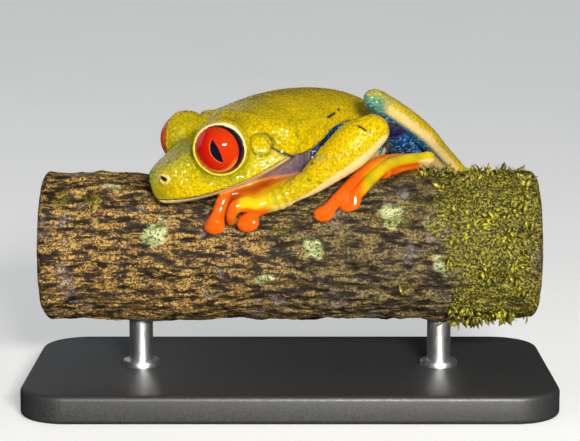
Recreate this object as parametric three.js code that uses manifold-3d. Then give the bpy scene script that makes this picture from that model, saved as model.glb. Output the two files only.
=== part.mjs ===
// A red-eyed tree frog, life size, crouched over a short length of branch on a display stand.
// Millimetres, +Z up. The frog faces -X, and the branch runs along X.
// Everything but the stand is laid out about the branch's own axis, which is BRANCH_HEIGHT above the table.
import * as THREE from "three";
import { mergeVertices } from "three/addons/utils/BufferGeometryUtils.js";
import Module from "manifold-3d";

const wasm = await Module();
wasm.setup();

const { Vector3 } = THREE;
const GAP = 0.3; // clearance between neighbouring solids

// Branch and stand
const BRANCH_RADIUS = 9.5;
const BRANCH_LENGTH = 62;
const BRANCH_HEIGHT = 19;
const BRANCH_CHAMFER = 0.8;
const BRANCH_WAVE = 0.12; // height of the bark's slow waves
const CHIN_HOLLOW = { x: -12, y: 0.5, alongX: 6.5, alongY: 5.5, depth: 1.1 }; // dip worn under the chin
const BASE = { length: 66, width: 34, height: 3.5, corner: 6, bevel: 0.6 };
const ROD_RADIUS = 1.5;
const ROD_X = [-19, 19];
const ROD_SOCKET = 2; // depth of each rod in the base
const ROD_IN_BRANCH = 4;

// Head, in its own frame: x forward, y to the frog's left, z up, from midway between the eyes
const HEAD = bodyFrame(new Vector3(-10.6, -6.35, 13.97), { yaw: 24.6, pitch: 14, roll: 1 });
const SNOUT_X = 7.9;
const HEAD_BACK_X = -13;
const LIP_HALF_WIDTH = 8;
const FULL_WIDTH_X = -8.5; // the lips are widest here, at the corners of the mouth
const COLLAR_TAPER = 0.5; // how much of its width the head loses behind that, under the skin of the back
const CHIN_Z = -3.4; // the snout slants back below this
const crown = curve([
  [9, -2], [7.3, -1.45], [4.5, -0.5], [2, 0.5], [-1.5, 1.4], [-4, 1.8], [-6.5, 2.1], [-9, 2.1], [-13, 1.6],
]);
const mouth = curve([
  [8, -5.1], [5, -5.35], [2, -5.2], [-1, -4.85], [-5, -4], [-8, -3.15], [-11, -1.8], [-14, -0.8],
]);
const throat = curve([[8.2, -5.8], [5, -6.2], [0, -6.4], [-5, -6.2], [-9, -5.6], [-14, -4.5]]);
const cheekLean = curve([[8, 0.34], [3, 0.44], [-3, 0.34], [-12, 0.22]]); // how far the cheeks lean in
const THROAT_LEAN = 0.42;
const ridge = curve([[8, 0.8], [2, 1.3], [-4, 4], [-10, 6.5]]); // rounding where cheek meets crown
const THROAT_ROUNDING = 2.6;

// Eyes
const EYE_RADIUS = 3.25;
const EYE_AT = new Vector3(0, 5.8, -0.15);
const EYE_AXIS = new Vector3(0.56, 0.81, 0.12).normalize();
const LID = { radius: 3.08, tube: 0.26, out: 1.42 };
const SOCKET_RADIUS = 2.95;
const EYE_PLUG_RADIUS = 2.65;
const EYE_DEPTH = 0.6; // the eye's flat back, out from the middle of the eyeball
const SOCKET_LENGTH = 6; // more than the eye and its lids stand out
const EYE_SIDES = 16;

// Nostrils and eardrums
const NOSTRIL = { x: 6.95, z: -2.5, radius: 0.36 };
const EARDRUM = { x: -4.7, z: -1.05, radius: 1.25, thickness: 0.9, axis: new Vector3(0.05, 0.96, 0.28) };

// Trunk, in its own frame: x forward along the back, from between the shoulders
const TRUNK = bodyFrame(new Vector3(-2.5, 1, 13.4), { yaw: 42 });
const VENT_X = -27;
const TRUNK_FRONT_X = 7.5;
const flankWidth = curve([
  [7, 5.5], [3.5, 7], [0, 7.3], [-6.8, 7], [-13.3, 6.1], [-19.8, 4.7], [-24, 3.2], [-26.6, 1.4],
]);
const back = curve([
  [7, 3.5], [3.5, 4.6], [0, 5.6], [-6.8, 5.95], [-12.5, 5], [-18, 2.3], [-23, -1], [-26.6, -3.2],
]);
const belly = curve([
  [7, -2.6], [3.5, -3.4], [0, -3.9], [-6.8, -4.8], [-13.3, -5.2], [-19.8, -5.8], [-24, -6.2], [-26.6, -5.8],
]);
const TRUNK_SQUARENESS = 2.25;
const WIDEST_SHARE = 0.42; // the trunk is widest this far up from belly to back
const CHEST = { at: new Vector3(2.5, 5.6, -1.9), radii: new Vector3(3.6, 2.8, 2.4), blend: 1.5 };

// The green skin of the back hangs over the flanks like a cape, from behind the ear drum to the vent
const MANTLE_FRONT_X = 8.6;
const MANTLE_BACK_X = -24;
const MANTLE_TURN = 2; // how much further back it starts on the far side
const MANTLE_FAR_SHARE = 0.8; // and how much narrower it is there
const mantleEdge = curve([
  [9, 3], [8, 2], [7.5, 0.8], [6.7, 0.15], [4.8, -0.5], [3.6, -0.65], [1.75, -0.25], [-0.6, 0.65],
  [-2.8, 1.7], [-6.2, 2.4], [-12, 1.6], [-18, -1], [-25, -3.6],
]);
const mantleWidth = curve([
  [9, 5], [8.2, 8], [7.5, 9.4], [6.7, 10], [5, 10.2], [3.6, 10.1], [1.75, 9.85], [-0.6, 9.3],
  [-2.8, 8.6], [-6.8, 7.7], [-13.3, 6.4], [-19.8, 4.9], [-24, 3.3], [-26.6, 1.5],
]);

// The cut that parts the head's solid from the trunk's, on the head's own axis
const NECK_AT = new Vector3(-8.5, 0, 1);
const NECK_NORMAL = new Vector3(-0.84, -0.53, -0.12).normalize();

// Limbs: each row is x, y, z and the radius there, from the root of the piece to its end
const LIMBS = {
  left: {
    upper_arm: [[0.8, -3.4, 12.2, 2.2], [4.9, -5, 11.9, 1.45], [9.2, -7.3, 14.4, 1.5]],
    forearm: [
      [10, -8, 15.4, 2.05], [8.2, -8.2, 14.2, 2.6], [6.9, -8.3, 13, 2.6], [4.1, -8.3, 10.65, 2.05],
      [2.2, -8.3, 9.1, 1.6], [-0.6, -8.3, 7.65, 1.25], [-2.8, -8.5, 6.85, 0.85],
    ],
    inner_wrist: [[1, -6.9, 9, 0.9], [-0.6, -6.8, 8.6, 1.15], [-3.6, -6.6, 8.3, 1.2]],
    thigh: [[16.6, 13.4, 9.6, 2.7], [15, 8, 12.6, 2.75], [13, 1.5, 16, 2.1], [11, -2.6, 18.3, 1.35]],
    shank: [
      [10.3, -4, 18.9, 1.25], [13.3, -0.5, 16.8, 1.45], [16.9, 4, 13.8, 1.38], [19.4, 8, 10.95, 1.22],
      [21.7, 11, 8.4, 1.1], [24, 13.5, 5.9, 0.95],
    ],
    tarsus: [[23, 12.4, 6.2, 0.9], [19.7, 7.6, 8.5, 0.82], [17.6, 2.6, 10.75, 0.85]],
  },
  right: {
    upper_arm: [[-6, 5.4, 12, 2.2], [-4.5, 9.5, 10.5, 1.75], [-3.2, 12.6, 8.5, 1.6]],
    forearm: [
      [-2.6, 13.8, 7.6, 1.9], [-5, 13.4, 7.3, 2.4], [-8.5, 12, 6.7, 2], [-11.2, 10.4, 6.1, 1.25],
      [-13.4, 9.3, 5.6, 1],
    ],
    thigh: [[12, 18, 9.3, 2.7], [6.5, 16.5, 11, 2.75], [-1, 13, 13, 2.1], [-5, 11.2, 13.5, 1.4]],
    shank: [[-6, 10.8, 13.4, 1.4], [-1.5, 15, 11.6, 1.45], [4.5, 19.5, 8.6, 1.25], [11.5, 23.2, 4.4, 0.95]],
    tarsus: [[10.8, 22.4, 3.5, 0.95], [8.5, 19.2, 1.2, 0.85], [4.8, 13.8, -0.8, 0.95]],
  },
};
const LIMB_SIDES = 7;
const DIGIT_SIDES = 5;
const END_ANGLE = Math.PI / 4; // where the one ring of a rounded end lies

// Digits, inner to outer. Each ends in a flat oval disc on the bark: x, y, z and the radius.
const DIGITS = {
  hand_left: [
    { rows: [[-1.6, -6.8, 8.4, 1.15], [-4.5, -6.4, 8.3, 1.3], [-6.6, -6.7, 8, 1.1], [-8, -7.3, 7.4, 0.9]] },
    {
      rows: [
        [-4, -7.4, 7.5, 1.1], [-7, -7.6, 7.6, 1], [-8.1, -8.3, 6.9, 0.84], [-8.6, -8.6, 5.6, 0.88],
        [-9.1, -9.1, 4.4, 0.9],
      ],
      disc: [-9.2, -9.15, 3.9, 1.3],
    },
    {
      rows: [
        [-0.8, -8.2, 7.3, 1], [-4, -8.8, 6.4, 1.05], [-5.3, -9.3, 6.6, 0.98], [-6.5, -9.8, 6.4, 0.82],
        [-7.1, -10, 5.5, 0.64], [-7.2, -9.3, 4.5, 0.5],
      ],
    },
    {
      rows: [[-1.6, -7.8, 6.9, 0.95], [-3.5, -8.1, 6, 0.85], [-4.6, -8.6, 5.2, 0.75], [-5, -8.9, 4.6, 0.75]],
      disc: [-5.15, -9.1, 4.3, 1.42],
    },
  ],
  hand_right: [
    {
      rows: [[-11.6, 9.9, 6.1, 0.95], [-13.6, 7.9, 7, 0.8], [-14.3, 6.2, 8.5, 0.7]],
      disc: [-14.6, 5.4, 8.4, 1.15],
    },
    {
      rows: [[-11.6, 9.9, 6, 0.95], [-14.8, 8.4, 6.5, 0.75], [-16.4, 7.9, 6.5, 0.7]],
      disc: [-17, 7.6, 6.3, 1.2],
    },
    {
      rows: [[-11.6, 10, 5.8, 0.95], [-15, 9.6, 4.8, 0.75], [-17.2, 9.2, 4.3, 0.7]],
      disc: [-17.9, 9, 4.1, 1.3],
    },
    {
      rows: [[-11.6, 10, 5.6, 0.9], [-13.8, 10.2, 3.2, 0.75], [-15, 10, 1.8, 0.7]],
      disc: [-15.5, 9.8, 1.2, 1.25],
    },
  ],
  foot_left: [
    { rows: [[17.5, 3.4, 10.3, 0.75], [16.2, 6, 9, 0.65], [14.6, 7, 8, 0.6]], disc: [14, 7.1, 7.2, 0.95] },
    {
      rows: [[17.5, 3.4, 10.3, 0.75], [14.6, 4.4, 9.9, 0.65], [12.2, 4.6, 9.4, 0.6]],
      disc: [11.3, 4.4, 9.1, 1],
    },
    {
      rows: [[17.5, 3.3, 10.2, 0.75], [15.2, 1, 10, 0.7], [12.6, -2, 9.7, 0.65]],
      disc: [11.8, -2.8, 9.5, 1],
    },
    {
      rows: [
        [17.4, 3.6, 10.3, 0.75], [16.2, 3, 10.4, 0.8], [13.3, 0.4, 10.8, 0.85], [10.6, -2.8, 10.6, 0.85],
        [8.2, -5, 9, 0.85], [6.4, -7.3, 7.45, 0.88], [4.9, -8.3, 6.1, 0.75],
      ],
      disc: [4.1, -8.35, 5.3, 1.3],
    },
    {
      rows: [
        [17.6, 3, 10.6, 0.8], [16.8, 2.2, 10.75, 0.82], [14.9, 0.4, 10.75, 0.85], [12.3, -2.3, 10.5, 0.85],
        [10.2, -4.9, 9.3, 0.8], [8.8, -6.8, 8.1, 0.78], [7.9, -7.5, 7.3, 0.78],
      ],
      disc: [7.25, -7.6, 6.5, 1.42],
    },
  ],
  foot_right: [
    {
      rows: [[6.2, 15.8, -0.1, 0.85], [5.2, 11.2, 4, 0.65], [4.7, 9.2, 5, 0.6]],
      disc: [4.5, 8.4, 5.5, 0.95],
    },
    {
      rows: [[6.2, 15.8, -0.2, 0.9], [3.4, 11.4, 3, 0.7], [1.5, 9.7, 4, 0.65]],
      disc: [0.9, 9, 4.3, 1.05],
    },
    {
      rows: [[6.2, 15.8, -0.3, 0.95], [1.5, 11.4, 1.5, 0.75], [-2.4, 10.2, 2.3, 0.7]],
      disc: [-3.2, 9.7, 2.4, 1.15],
    },
    {
      rows: [[6.2, 15.8, -0.4, 1], [1, 11.2, -0.9, 0.9], [-3.5, 10.5, -1.2, 0.8], [-7, 10.3, -0.8, 0.7]],
      disc: [-8, 9.9, -0.6, 1.3],
    },
    {
      rows: [[6.2, 15.8, -0.5, 1], [2.5, 11.8, -3, 0.85], [-1, 10, -4, 0.75], [-3.6, 9.5, -4.1, 0.7]],
      disc: [-4.5, 9, -4, 1.3],
    },
  ],
};
const DISC_THICKNESS = 1.4;
const DISC_WIDE = 1.08; // the discs are oval, wider than they are long
const DISC_LONG = 0.84;
const DISC_LEAN = new Vector3(-0.35, 0, -0.15); // and lean forward and down a little

// The cuts that part hands and feet from their limbs
const WRISTS = {
  hand_left: { at: [-2, -8.2, 6.8], toward: [-0.89, -0.1, -0.45] },
  hand_right: { at: [-12.4, 9.7, 5.8], toward: [-0.9, -0.4, -0.15] },
  foot_left: { at: [17.1, 3.1, 10.6], toward: [-0.65, -0.75, 0.1] },
  foot_right: { at: [5.6, 15, -0.4], toward: [-0.55, -0.82, 0.1] },
};

const COLOURS = {
  green: { color: 0xb9b21e, roughness: 0.3, metalness: 0 },
  blue: { color: 0x1f56a8, roughness: 0.3, metalness: 0 },
  cream: { color: 0xe8dfa8, roughness: 0.35, metalness: 0 },
  orange: { color: 0xf0661e, roughness: 0.2, metalness: 0 },
  eye: { color: 0xd8210e, roughness: 0.05, metalness: 0 },
  bark: { color: 0x6b4c33, roughness: 0.9, metalness: 0 },
  stand: { color: 0x26282b, roughness: 0.5, metalness: 0 },
  rod: { color: 0xb9bcc0, roughness: 0.25, metalness: 1 },
};

// ---------- small mathematics ----------

// A frame whose x axis is the way a body part faces. In degrees: yaw turns it from -X towards the near side,
// pitch lowers its nose and roll lifts its left.
function bodyFrame(at, { yaw = 0, pitch = 0, roll = 0 }) {
  const [turn, dip, lean] = [yaw, pitch, roll].map(THREE.MathUtils.degToRad);
  const level = Math.cos(dip);
  const forward = new Vector3(-Math.cos(turn) * level, -Math.sin(turn) * level, -Math.sin(dip));
  const left = new Vector3(Math.sin(turn), -Math.cos(turn), 0).applyAxisAngle(forward, lean);
  const up = forward.clone().cross(left);
  return new THREE.Matrix4().makeBasis(forward, left, up).setPosition(at);
}

// A smooth curve through [x, value] rows, held level past its ends.
function curve(rows) {
  const sorted = [...rows].sort((a, b) => a[0] - b[0]);
  const last = sorted.length - 1;
  const slopes = sorted.map((row, i) => {
    const before = sorted[Math.max(i - 1, 0)];
    const after = sorted[Math.min(i + 1, last)];
    return (after[1] - before[1]) / (after[0] - before[0]);
  });
  return (x) => {
    let i = 0;
    while (i < last - 1 && x > sorted[i + 1][0]) i++;
    const [x0, y0] = sorted[i];
    const [x1, y1] = sorted[i + 1];
    const width = x1 - x0;
    const t = THREE.MathUtils.clamp((x - x0) / width, 0, 1);
    const t2 = t * t;
    const t3 = t2 * t;
    return (
      (2 * t3 - 3 * t2 + 1) * y0 + (t3 - 2 * t2 + t) * width * slopes[i]
      + (3 * t2 - 2 * t3) * y1 + (t3 - t2) * width * slopes[i + 1]
    );
  };
}

function smoothMin(a, b, blend) {
  const h = Math.max(blend - Math.abs(a - b), 0) / blend;
  return Math.min(a, b) - (h * h * blend) / 4;
}

function smoothMax(a, b, blend) {
  return -smoothMin(-a, -b, blend);
}

// 0 at from, 1 at to, and a smooth rise between them.
function rise(from, to, x) {
  const t = THREE.MathUtils.clamp((x - from) / (to - from), 0, 1);
  return t * t * (3 - 2 * t);
}

// ---------- body surface: negative inside, positive outside ----------

function lipHalfWidth(x) {
  const ahead = THREE.MathUtils.clamp((x - FULL_WIDTH_X) / (SNOUT_X - FULL_WIDTH_X), 0, 1);
  const behind = THREE.MathUtils.clamp((FULL_WIDTH_X + 0.5 - x) / 5, 0, 1);
  const snout = Math.pow(Math.max(1 - Math.pow(ahead, 2.3), 0), 0.62);
  return LIP_HALF_WIDTH * snout * (1 - COLLAR_TAPER * Math.pow(behind, 1.2));
}

function headSurface(point) {
  const { x, z } = point;
  const y = Math.abs(point.y);
  const slanted = x + 0.8 * Math.pow(THREE.MathUtils.clamp((CHIN_Z - z) / THROAT_ROUNDING, 0, 1.3), 2);
  const width = lipHalfWidth(slanted);
  const slope = (lipHalfWidth(slanted + 0.05) - lipHalfWidth(slanted - 0.05)) / 0.1;
  const lips = mouth(x);
  const above = THREE.MathUtils.clamp((z - lips) / (crown(x) - lips), 0, 1.2);
  const below = THREE.MathUtils.clamp((lips - z) / (lips - throat(x)), 0, 1.2);
  const narrowed = z < lips ? 0.97 - THROAT_LEAN * below : 1 - cheekLean(x) * Math.pow(above, 1.5);
  const rounding = ridge(x);
  let d = smoothMax((y - width * narrowed) / Math.hypot(1, slope), z - crown(x), rounding);
  d = smoothMax(d, throat(x) - z, Math.min(rounding, THROAT_ROUNDING));
  d = smoothMax(d, HEAD_BACK_X - 1 - x, 4);
  const fromEye = new Vector3(x, y, z).sub(EYE_AT);
  const bulge = smoothMax(fromEye.length() - EYE_RADIUS - 0.22, fromEye.dot(EYE_AXIS) - LID.out - 0.1, 0.3);
  return smoothMin(d, bulge, 0.9);
}

function chestSurface(x, y, z) {
  const { at, radii } = CHEST;
  const offset = new Vector3(x, Math.abs(y), z).sub(at);
  const close = offset.clone().divide(radii).length();
  const steep = offset.divide(radii.clone().multiply(radii)).length();
  return (close * (close - 1)) / Math.max(steep, 1e-6);
}

// The height of the cape's edge beside a point of the trunk, and how far along its edge that is.
function mantlePlace(x, y) {
  const along = x + MANTLE_TURN * THREE.MathUtils.clamp(-y / 9, 0, 1);
  return { along, edge: mantleEdge(along) };
}

function mantleSurface(x, y, z) {
  const { along, edge } = mantlePlace(x, y);
  const farShare = y < 0 ? 1 - (1 - MANTLE_FAR_SHARE) * rise(-8, 2, x) : 1;
  const width = mantleWidth(along) * farShare;
  const widest = edge + 0.3;
  const height = z > widest ? Math.max(back(x) + 0.05 - widest, 1) : 0.9;
  const d = (Math.hypot(y / width, (z - widest) / height) - 1) * Math.min(width, height) * 0.92;
  return smoothMax(smoothMax(d, MANTLE_BACK_X - x, 1.8), along - MANTLE_FRONT_X, 1.6);
}

function trunkSurface({ x, y, z }) {
  const top = back(x);
  const bottom = belly(x);
  const middle = bottom + WIDEST_SHARE * (top - bottom);
  const height = z > middle ? top - middle : middle - bottom;
  const width = flankWidth(x);
  const n = TRUNK_SQUARENESS;
  const across = Math.pow(Math.abs(y / width), n) + Math.pow(Math.abs((z - middle) / height), n);
  let d = (Math.pow(across, 1 / n) - 1) * Math.min(width, height) * 0.92;
  d = smoothMax(d, VENT_X - x, 1.8);
  d = smoothMax(d, x - TRUNK_FRONT_X, 2);
  d = smoothMin(d, chestSurface(x, y, z), CHEST.blend);
  return smoothMin(d, mantleSurface(x, y, z), 0.35);
}

const INTO_HEAD = HEAD.clone().invert();
const INTO_TRUNK = TRUNK.clone().invert();

// The head runs into the trunk softly above and below, and under a sharp fold along the cape's edge.
function bodySurface(point) {
  const inTrunk = point.clone().applyMatrix4(INTO_TRUNK);
  const above = inTrunk.z - mantlePlace(inTrunk.x, inTrunk.y).edge;
  const blend = 0.35 + 2.4 * rise(0.6, 3.2, above) + 1.6 * rise(-1.5, -3.5, above);
  return smoothMin(headSurface(point.clone().applyMatrix4(INTO_HEAD)), trunkSurface(inTrunk), blend);
}

// ---------- solids ----------

const WELD = 1e-4; // points closer than this are one
const CLOSE_ENOUGH = 0.002;
const MAX_REACH = 40;
const BLOCK_SIZE = 90; // larger than the whole frog

function solidOf(geometry) {
  const bare = geometry.clone();
  for (const name of Object.keys(bare.attributes)) {
    if (name !== "position") bare.deleteAttribute(name);
  }
  const merged = mergeVertices(bare, WELD);
  const mesh = new wasm.Mesh({
    numProp: 3,
    vertProperties: new Float32Array(merged.attributes.position.array),
    triVerts: new Uint32Array(merged.index.array),
  });
  return new wasm.Manifold(mesh);
}

function geometryOf(solid) {
  const mesh = solid.getMesh();
  return new THREE.BufferGeometry()
    .setAttribute("position", new THREE.BufferAttribute(new Float32Array(mesh.vertProperties), 3))
    .setIndex(new THREE.BufferAttribute(new Uint32Array(mesh.triVerts), 1));
}

// The largest single body of a solid, without the slivers that a cut can leave.
function mainBody(solid) {
  return solid.decompose().reduce((a, b) => (a.volume() > b.volume() ? a : b));
}

function joined(solids) {
  return solids.reduce((a, b) => a.add(b));
}

function cutBy(solid, cutters) {
  return cutters.reduce((rest, cutter) => rest.subtract(cutter), solid);
}

// A closed surface from a tip, equal rings and a tail. The rings run anticlockwise seen from the tip.
function loft(tip, rings, tail) {
  const count = rings[0].length;
  const points = [tip, ...rings.flat(), tail];
  const index = [];
  const at = (ring, i) => 1 + ring * count + (i % count);
  for (let i = 0; i < count; i++) {
    index.push(0, at(0, i), at(0, i + 1));
    index.push(points.length - 1, at(rings.length - 1, i + 1), at(rings.length - 1, i));
  }
  for (let ring = 0; ring + 1 < rings.length; ring++) {
    for (let i = 0; i < count; i++) {
      index.push(at(ring, i), at(ring + 1, i), at(ring + 1, i + 1));
      index.push(at(ring, i), at(ring + 1, i + 1), at(ring, i + 1));
    }
  }
  return new THREE.BufferGeometry().setFromPoints(points).setIndex(index);
}

// A point on the smooth route through four rows, each x, y, z and radius.
function between(a, b, c, d, t) {
  return b.map((value, k) => {
    const slope0 = (c[k] - a[k]) / 2;
    const slope1 = (d[k] - value) / 2;
    const t2 = t * t;
    const t3 = t2 * t;
    return (
      (2 * t3 - 3 * t2 + 1) * value + (t3 - 2 * t2 + t) * slope0
      + (3 * t2 - 2 * t3) * c[k] + (t3 - t2) * slope1
    );
  });
}

// The rows with more between them, so many steps from each to the next.
function route(rows, stepsPerSpan) {
  const samples = [];
  for (let i = 0; i + 1 < rows.length; i++) {
    for (let step = 0; step < stepsPerSpan; step++) {
      const before = rows[Math.max(i - 1, 0)];
      const after = rows[Math.min(i + 2, rows.length - 1)];
      samples.push(between(before, rows[i], rows[i + 1], after, step / stepsPerSpan));
    }
  }
  samples.push(rows[rows.length - 1]);
  return samples;
}

// A round limb along its rows, with rounded ends, grown by a margin all round.
function limbSolid(rows, { grow = 0, sides = LIMB_SIDES, steps = 2 } = {}) {
  const samples = route(rows, steps).map(([x, y, z, r]) => ({ at: new Vector3(x, y, z), r: r + grow }));
  samples.forEach((sample, i) => {
    const before = samples[Math.max(i - 1, 0)].at;
    const after = samples[Math.min(i + 1, samples.length - 1)].at;
    sample.along = after.clone().sub(before).normalize();
  });
  let across = new Vector3(0, 0, 1).cross(samples[0].along).normalize();
  // A ring about a sample, moved along the limb and shrunk by the angle round its rounded end.
  const ring = ({ at, along, r }, endAngle) => {
    across = across.clone().addScaledVector(along, -across.dot(along)).normalize();
    const up = across.clone().cross(along);
    const centre = at.clone().addScaledVector(along, r * Math.sin(endAngle));
    const radius = r * Math.cos(endAngle);
    return Array.from({ length: sides }, (_, i) => {
      const angle = (2 * Math.PI * i) / sides;
      const offset = across.clone().multiplyScalar(Math.cos(angle)).addScaledVector(up, Math.sin(angle));
      return centre.clone().addScaledVector(offset, radius);
    });
  };
  const first = samples[0];
  const last = samples[samples.length - 1];
  const rings = [ring(first, -END_ANGLE), ...samples.map((sample) => ring(sample, 0)), ring(last, END_ANGLE)];
  const tip = first.at.clone().addScaledVector(first.along, -first.r);
  const tail = last.at.clone().addScaledVector(last.along, last.r);
  return solidOf(loft(tip, rings, tail));
}

// How far the body's surface, grown by a margin, is from a point inside it.
function reach(from, direction, grow) {
  let distance = 0;
  let inside = Infinity;
  while (inside > CLOSE_ENOUGH && distance < MAX_REACH) {
    inside = grow - bodySurface(from.clone().addScaledVector(direction, distance));
    distance += Math.max(0.8 * inside, 0);
  }
  return distance;
}

const HEAD_GRID = {
  frontX: 7,
  backX: HEAD_BACK_X,
  rings: 16,
  sides: 22,
  crowding: 1.4, // more than 1 sets the rings closer together at the snout
  height: (x) => -3.6 + 0.16 * Math.max(4 - x, 0),
};
const TRUNK_GRID = {
  frontX: 6,
  backX: VENT_X + 0.15,
  rings: 13,
  sides: 20,
  crowding: 1,
  height: (x) => belly(x) + WIDEST_SHARE * (back(x) - belly(x)),
};

// The body's surface sampled on rings about one frame's x axis, from frontX back to backX.
function bodySolid(frame, { frontX, backX, rings, sides, height, crowding }, grow) {
  const [forward, left, up] = [new Vector3(), new Vector3(), new Vector3()];
  frame.extractBasis(forward, left, up);
  const centre = (x) => new Vector3(x, 0, height(Math.min(x, frontX))).applyMatrix4(frame);
  const tipX = frontX + reach(centre(frontX), forward, grow);
  const ringAt = (x) => Array.from({ length: sides }, (_, k) => {
    const angle = (2 * Math.PI * k) / sides;
    const direction = left.clone().multiplyScalar(Math.cos(angle)).addScaledVector(up, Math.sin(angle));
    return centre(x).addScaledVector(direction, reach(centre(x), direction, grow));
  });
  const stations = Array.from({ length: rings }, (_, i) => (i + 1) / rings);
  const loops = stations.map((t) => ringAt(tipX - (tipX - backX) * Math.pow(t, crowding)));
  return solidOf(loft(centre(tipX), loops, centre(backX)));
}

// Everything on the far side of a plane, as a large block.
function beyond(point, normal) {
  const turn = new THREE.Quaternion().setFromUnitVectors(new Vector3(0, 0, 1), normal);
  const block = new THREE.BoxGeometry(BLOCK_SIZE, BLOCK_SIZE, BLOCK_SIZE).translate(0, 0, BLOCK_SIZE / 2);
  return solidOf(block.applyQuaternion(turn).translate(point.x, point.y, point.z));
}

// A disc or rod of round section whose middle is at a point.
function rodSolid(point, axis, radius, length, sides = 20) {
  const turn = new THREE.Quaternion().setFromUnitVectors(new Vector3(0, 1, 0), axis.clone().normalize());
  const rod = new THREE.CylinderGeometry(radius, radius, length, sides).applyQuaternion(turn);
  return solidOf(rod.translate(point.x, point.y, point.z));
}

// ---------- branch and stand ----------

function barkRadius(x, angle) {
  const wave = BRANCH_WAVE * (Math.sin(0.31 * x + 3 * angle) + Math.sin(0.17 * x - 2 * angle + 1));
  const alongX = (x - CHIN_HOLLOW.x) / CHIN_HOLLOW.alongX;
  const alongY = (BRANCH_RADIUS * Math.cos(angle) - CHIN_HOLLOW.y) / CHIN_HOLLOW.alongY;
  const hollow = Math.sin(angle) > 0 ? CHIN_HOLLOW.depth * Math.exp(-alongX * alongX - alongY * alongY) : 0;
  return BRANCH_RADIUS + wave - hollow;
}

function branchSolid(grow) {
  const sides = 20;
  const spans = 8;
  const end = BRANCH_LENGTH / 2 + grow;
  const straight = end - BRANCH_CHAMFER;
  const ring = (x, inset) => Array.from({ length: sides }, (_, k) => {
    const angle = (-2 * Math.PI * k) / sides;
    const r = barkRadius(x, angle) - inset + grow;
    return new Vector3(x, r * Math.cos(angle), r * Math.sin(angle));
  });
  const rings = Array.from({ length: spans + 1 }, (_, i) => ring(straight * ((2 * i) / spans - 1), 0));
  rings.unshift(ring(-end, BRANCH_CHAMFER));
  rings.push(ring(end, BRANCH_CHAMFER));
  return solidOf(loft(new Vector3(-end, 0, 0), rings, new Vector3(end, 0, 0)));
}

function baseSolid() {
  const { length, width, height, corner, bevel } = BASE;
  const x = length / 2 - bevel;
  const y = width / 2 - bevel;
  const r = corner - bevel;
  const outline = new THREE.Shape()
    .moveTo(-x + r, -y)
    .lineTo(x - r, -y)
    .absarc(x - r, -y + r, r, -Math.PI / 2, 0)
    .lineTo(x, y - r)
    .absarc(x - r, y - r, r, 0, Math.PI / 2)
    .lineTo(-x + r, y)
    .absarc(-x + r, y - r, r, Math.PI / 2, Math.PI)
    .lineTo(-x, -y + r)
    .absarc(-x + r, -y + r, r, Math.PI, 1.5 * Math.PI);
  const slab = new THREE.ExtrudeGeometry(outline, {
    depth: height - 2 * bevel,
    bevelThickness: bevel,
    bevelSize: bevel,
    bevelSegments: 1,
    curveSegments: 2,
  });
  return solidOf(slab.translate(0, 0, bevel - BRANCH_HEIGHT));
}

const BASE_TOP = BASE.height - BRANCH_HEIGHT;
const ROD_BOTTOM = BASE_TOP - ROD_SOCKET;
const ROD_TOP = -BRANCH_RADIUS + ROD_IN_BRANCH;

function standRod(x, grow) {
  const middle = new Vector3(x, 0, (ROD_TOP + ROD_BOTTOM) / 2);
  return rodSolid(middle, new Vector3(0, 0, 1), ROD_RADIUS + grow, ROD_TOP - ROD_BOTTOM + 2 * grow, 14);
}

// ---------- head ----------

// Everything below the line of the mouth, in the head's frame, moved up by an offset.
function belowMouth(offset) {
  const [front, rear, deep, halfWidth] = [10, -16, -16, 15];
  const outline = new THREE.Shape().moveTo(front, mouth(front) + offset);
  for (let x = front - 2; x >= rear; x--) outline.lineTo(x, mouth(x) + offset);
  outline.lineTo(rear, deep).lineTo(front, deep);
  const block = new THREE.ExtrudeGeometry(outline, { depth: 2 * halfWidth, bevelEnabled: false });
  return solidOf(block.translate(0, 0, -halfWidth).rotateX(Math.PI / 2).applyMatrix4(HEAD));
}

// The frog's left or right copy of a point or a direction given for its left side.
function mirrored(v, side) {
  return new Vector3(v.x, v.y * side, v.z);
}

function headPoint(v) {
  return v.clone().applyMatrix4(HEAD);
}

function headDirection(v) {
  return v.clone().transformDirection(HEAD);
}

function onCheek(x, z, side) {
  const middle = headPoint(new Vector3(x, 0, z));
  const sideways = headDirection(new Vector3(0, side, 0));
  return middle.clone().addScaledVector(sideways, reach(middle, sideways, 0));
}

// Where an eye looks, and a point so far out along that line from the middle of its ball.
function eyeLine(side, out) {
  const axis = headDirection(mirrored(EYE_AXIS, side));
  return { axis, at: headPoint(mirrored(EYE_AT, side)).addScaledVector(axis, out) };
}

function eyelidSolid(side) {
  const { axis, at } = eyeLine(side, LID.out);
  const turn = new THREE.Quaternion().setFromUnitVectors(new Vector3(0, 0, 1), axis);
  const ring = new THREE.TorusGeometry(LID.radius, LID.tube, 5, EYE_SIDES);
  return solidOf(ring.applyQuaternion(turn).translate(at.x, at.y, at.z));
}

function socketSolid(side) {
  const { axis, at } = eyeLine(side, EYE_DEPTH - GAP + SOCKET_LENGTH / 2);
  return rodSolid(at, axis, SOCKET_RADIUS, SOCKET_LENGTH, EYE_SIDES);
}

function eyeSolid(side) {
  const { axis, at } = eyeLine(side, 0);
  const turn = new THREE.Quaternion().setFromUnitVectors(new Vector3(0, 1, 0), axis);
  const ball = new THREE.SphereGeometry(EYE_RADIUS, EYE_SIDES, 12).applyQuaternion(turn);
  const middle = at.clone().addScaledVector(axis, EYE_DEPTH + SOCKET_LENGTH / 2);
  const plug = rodSolid(middle, axis, EYE_PLUG_RADIUS, SOCKET_LENGTH, EYE_SIDES);
  return solidOf(ball.translate(at.x, at.y, at.z)).intersect(plug);
}

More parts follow.
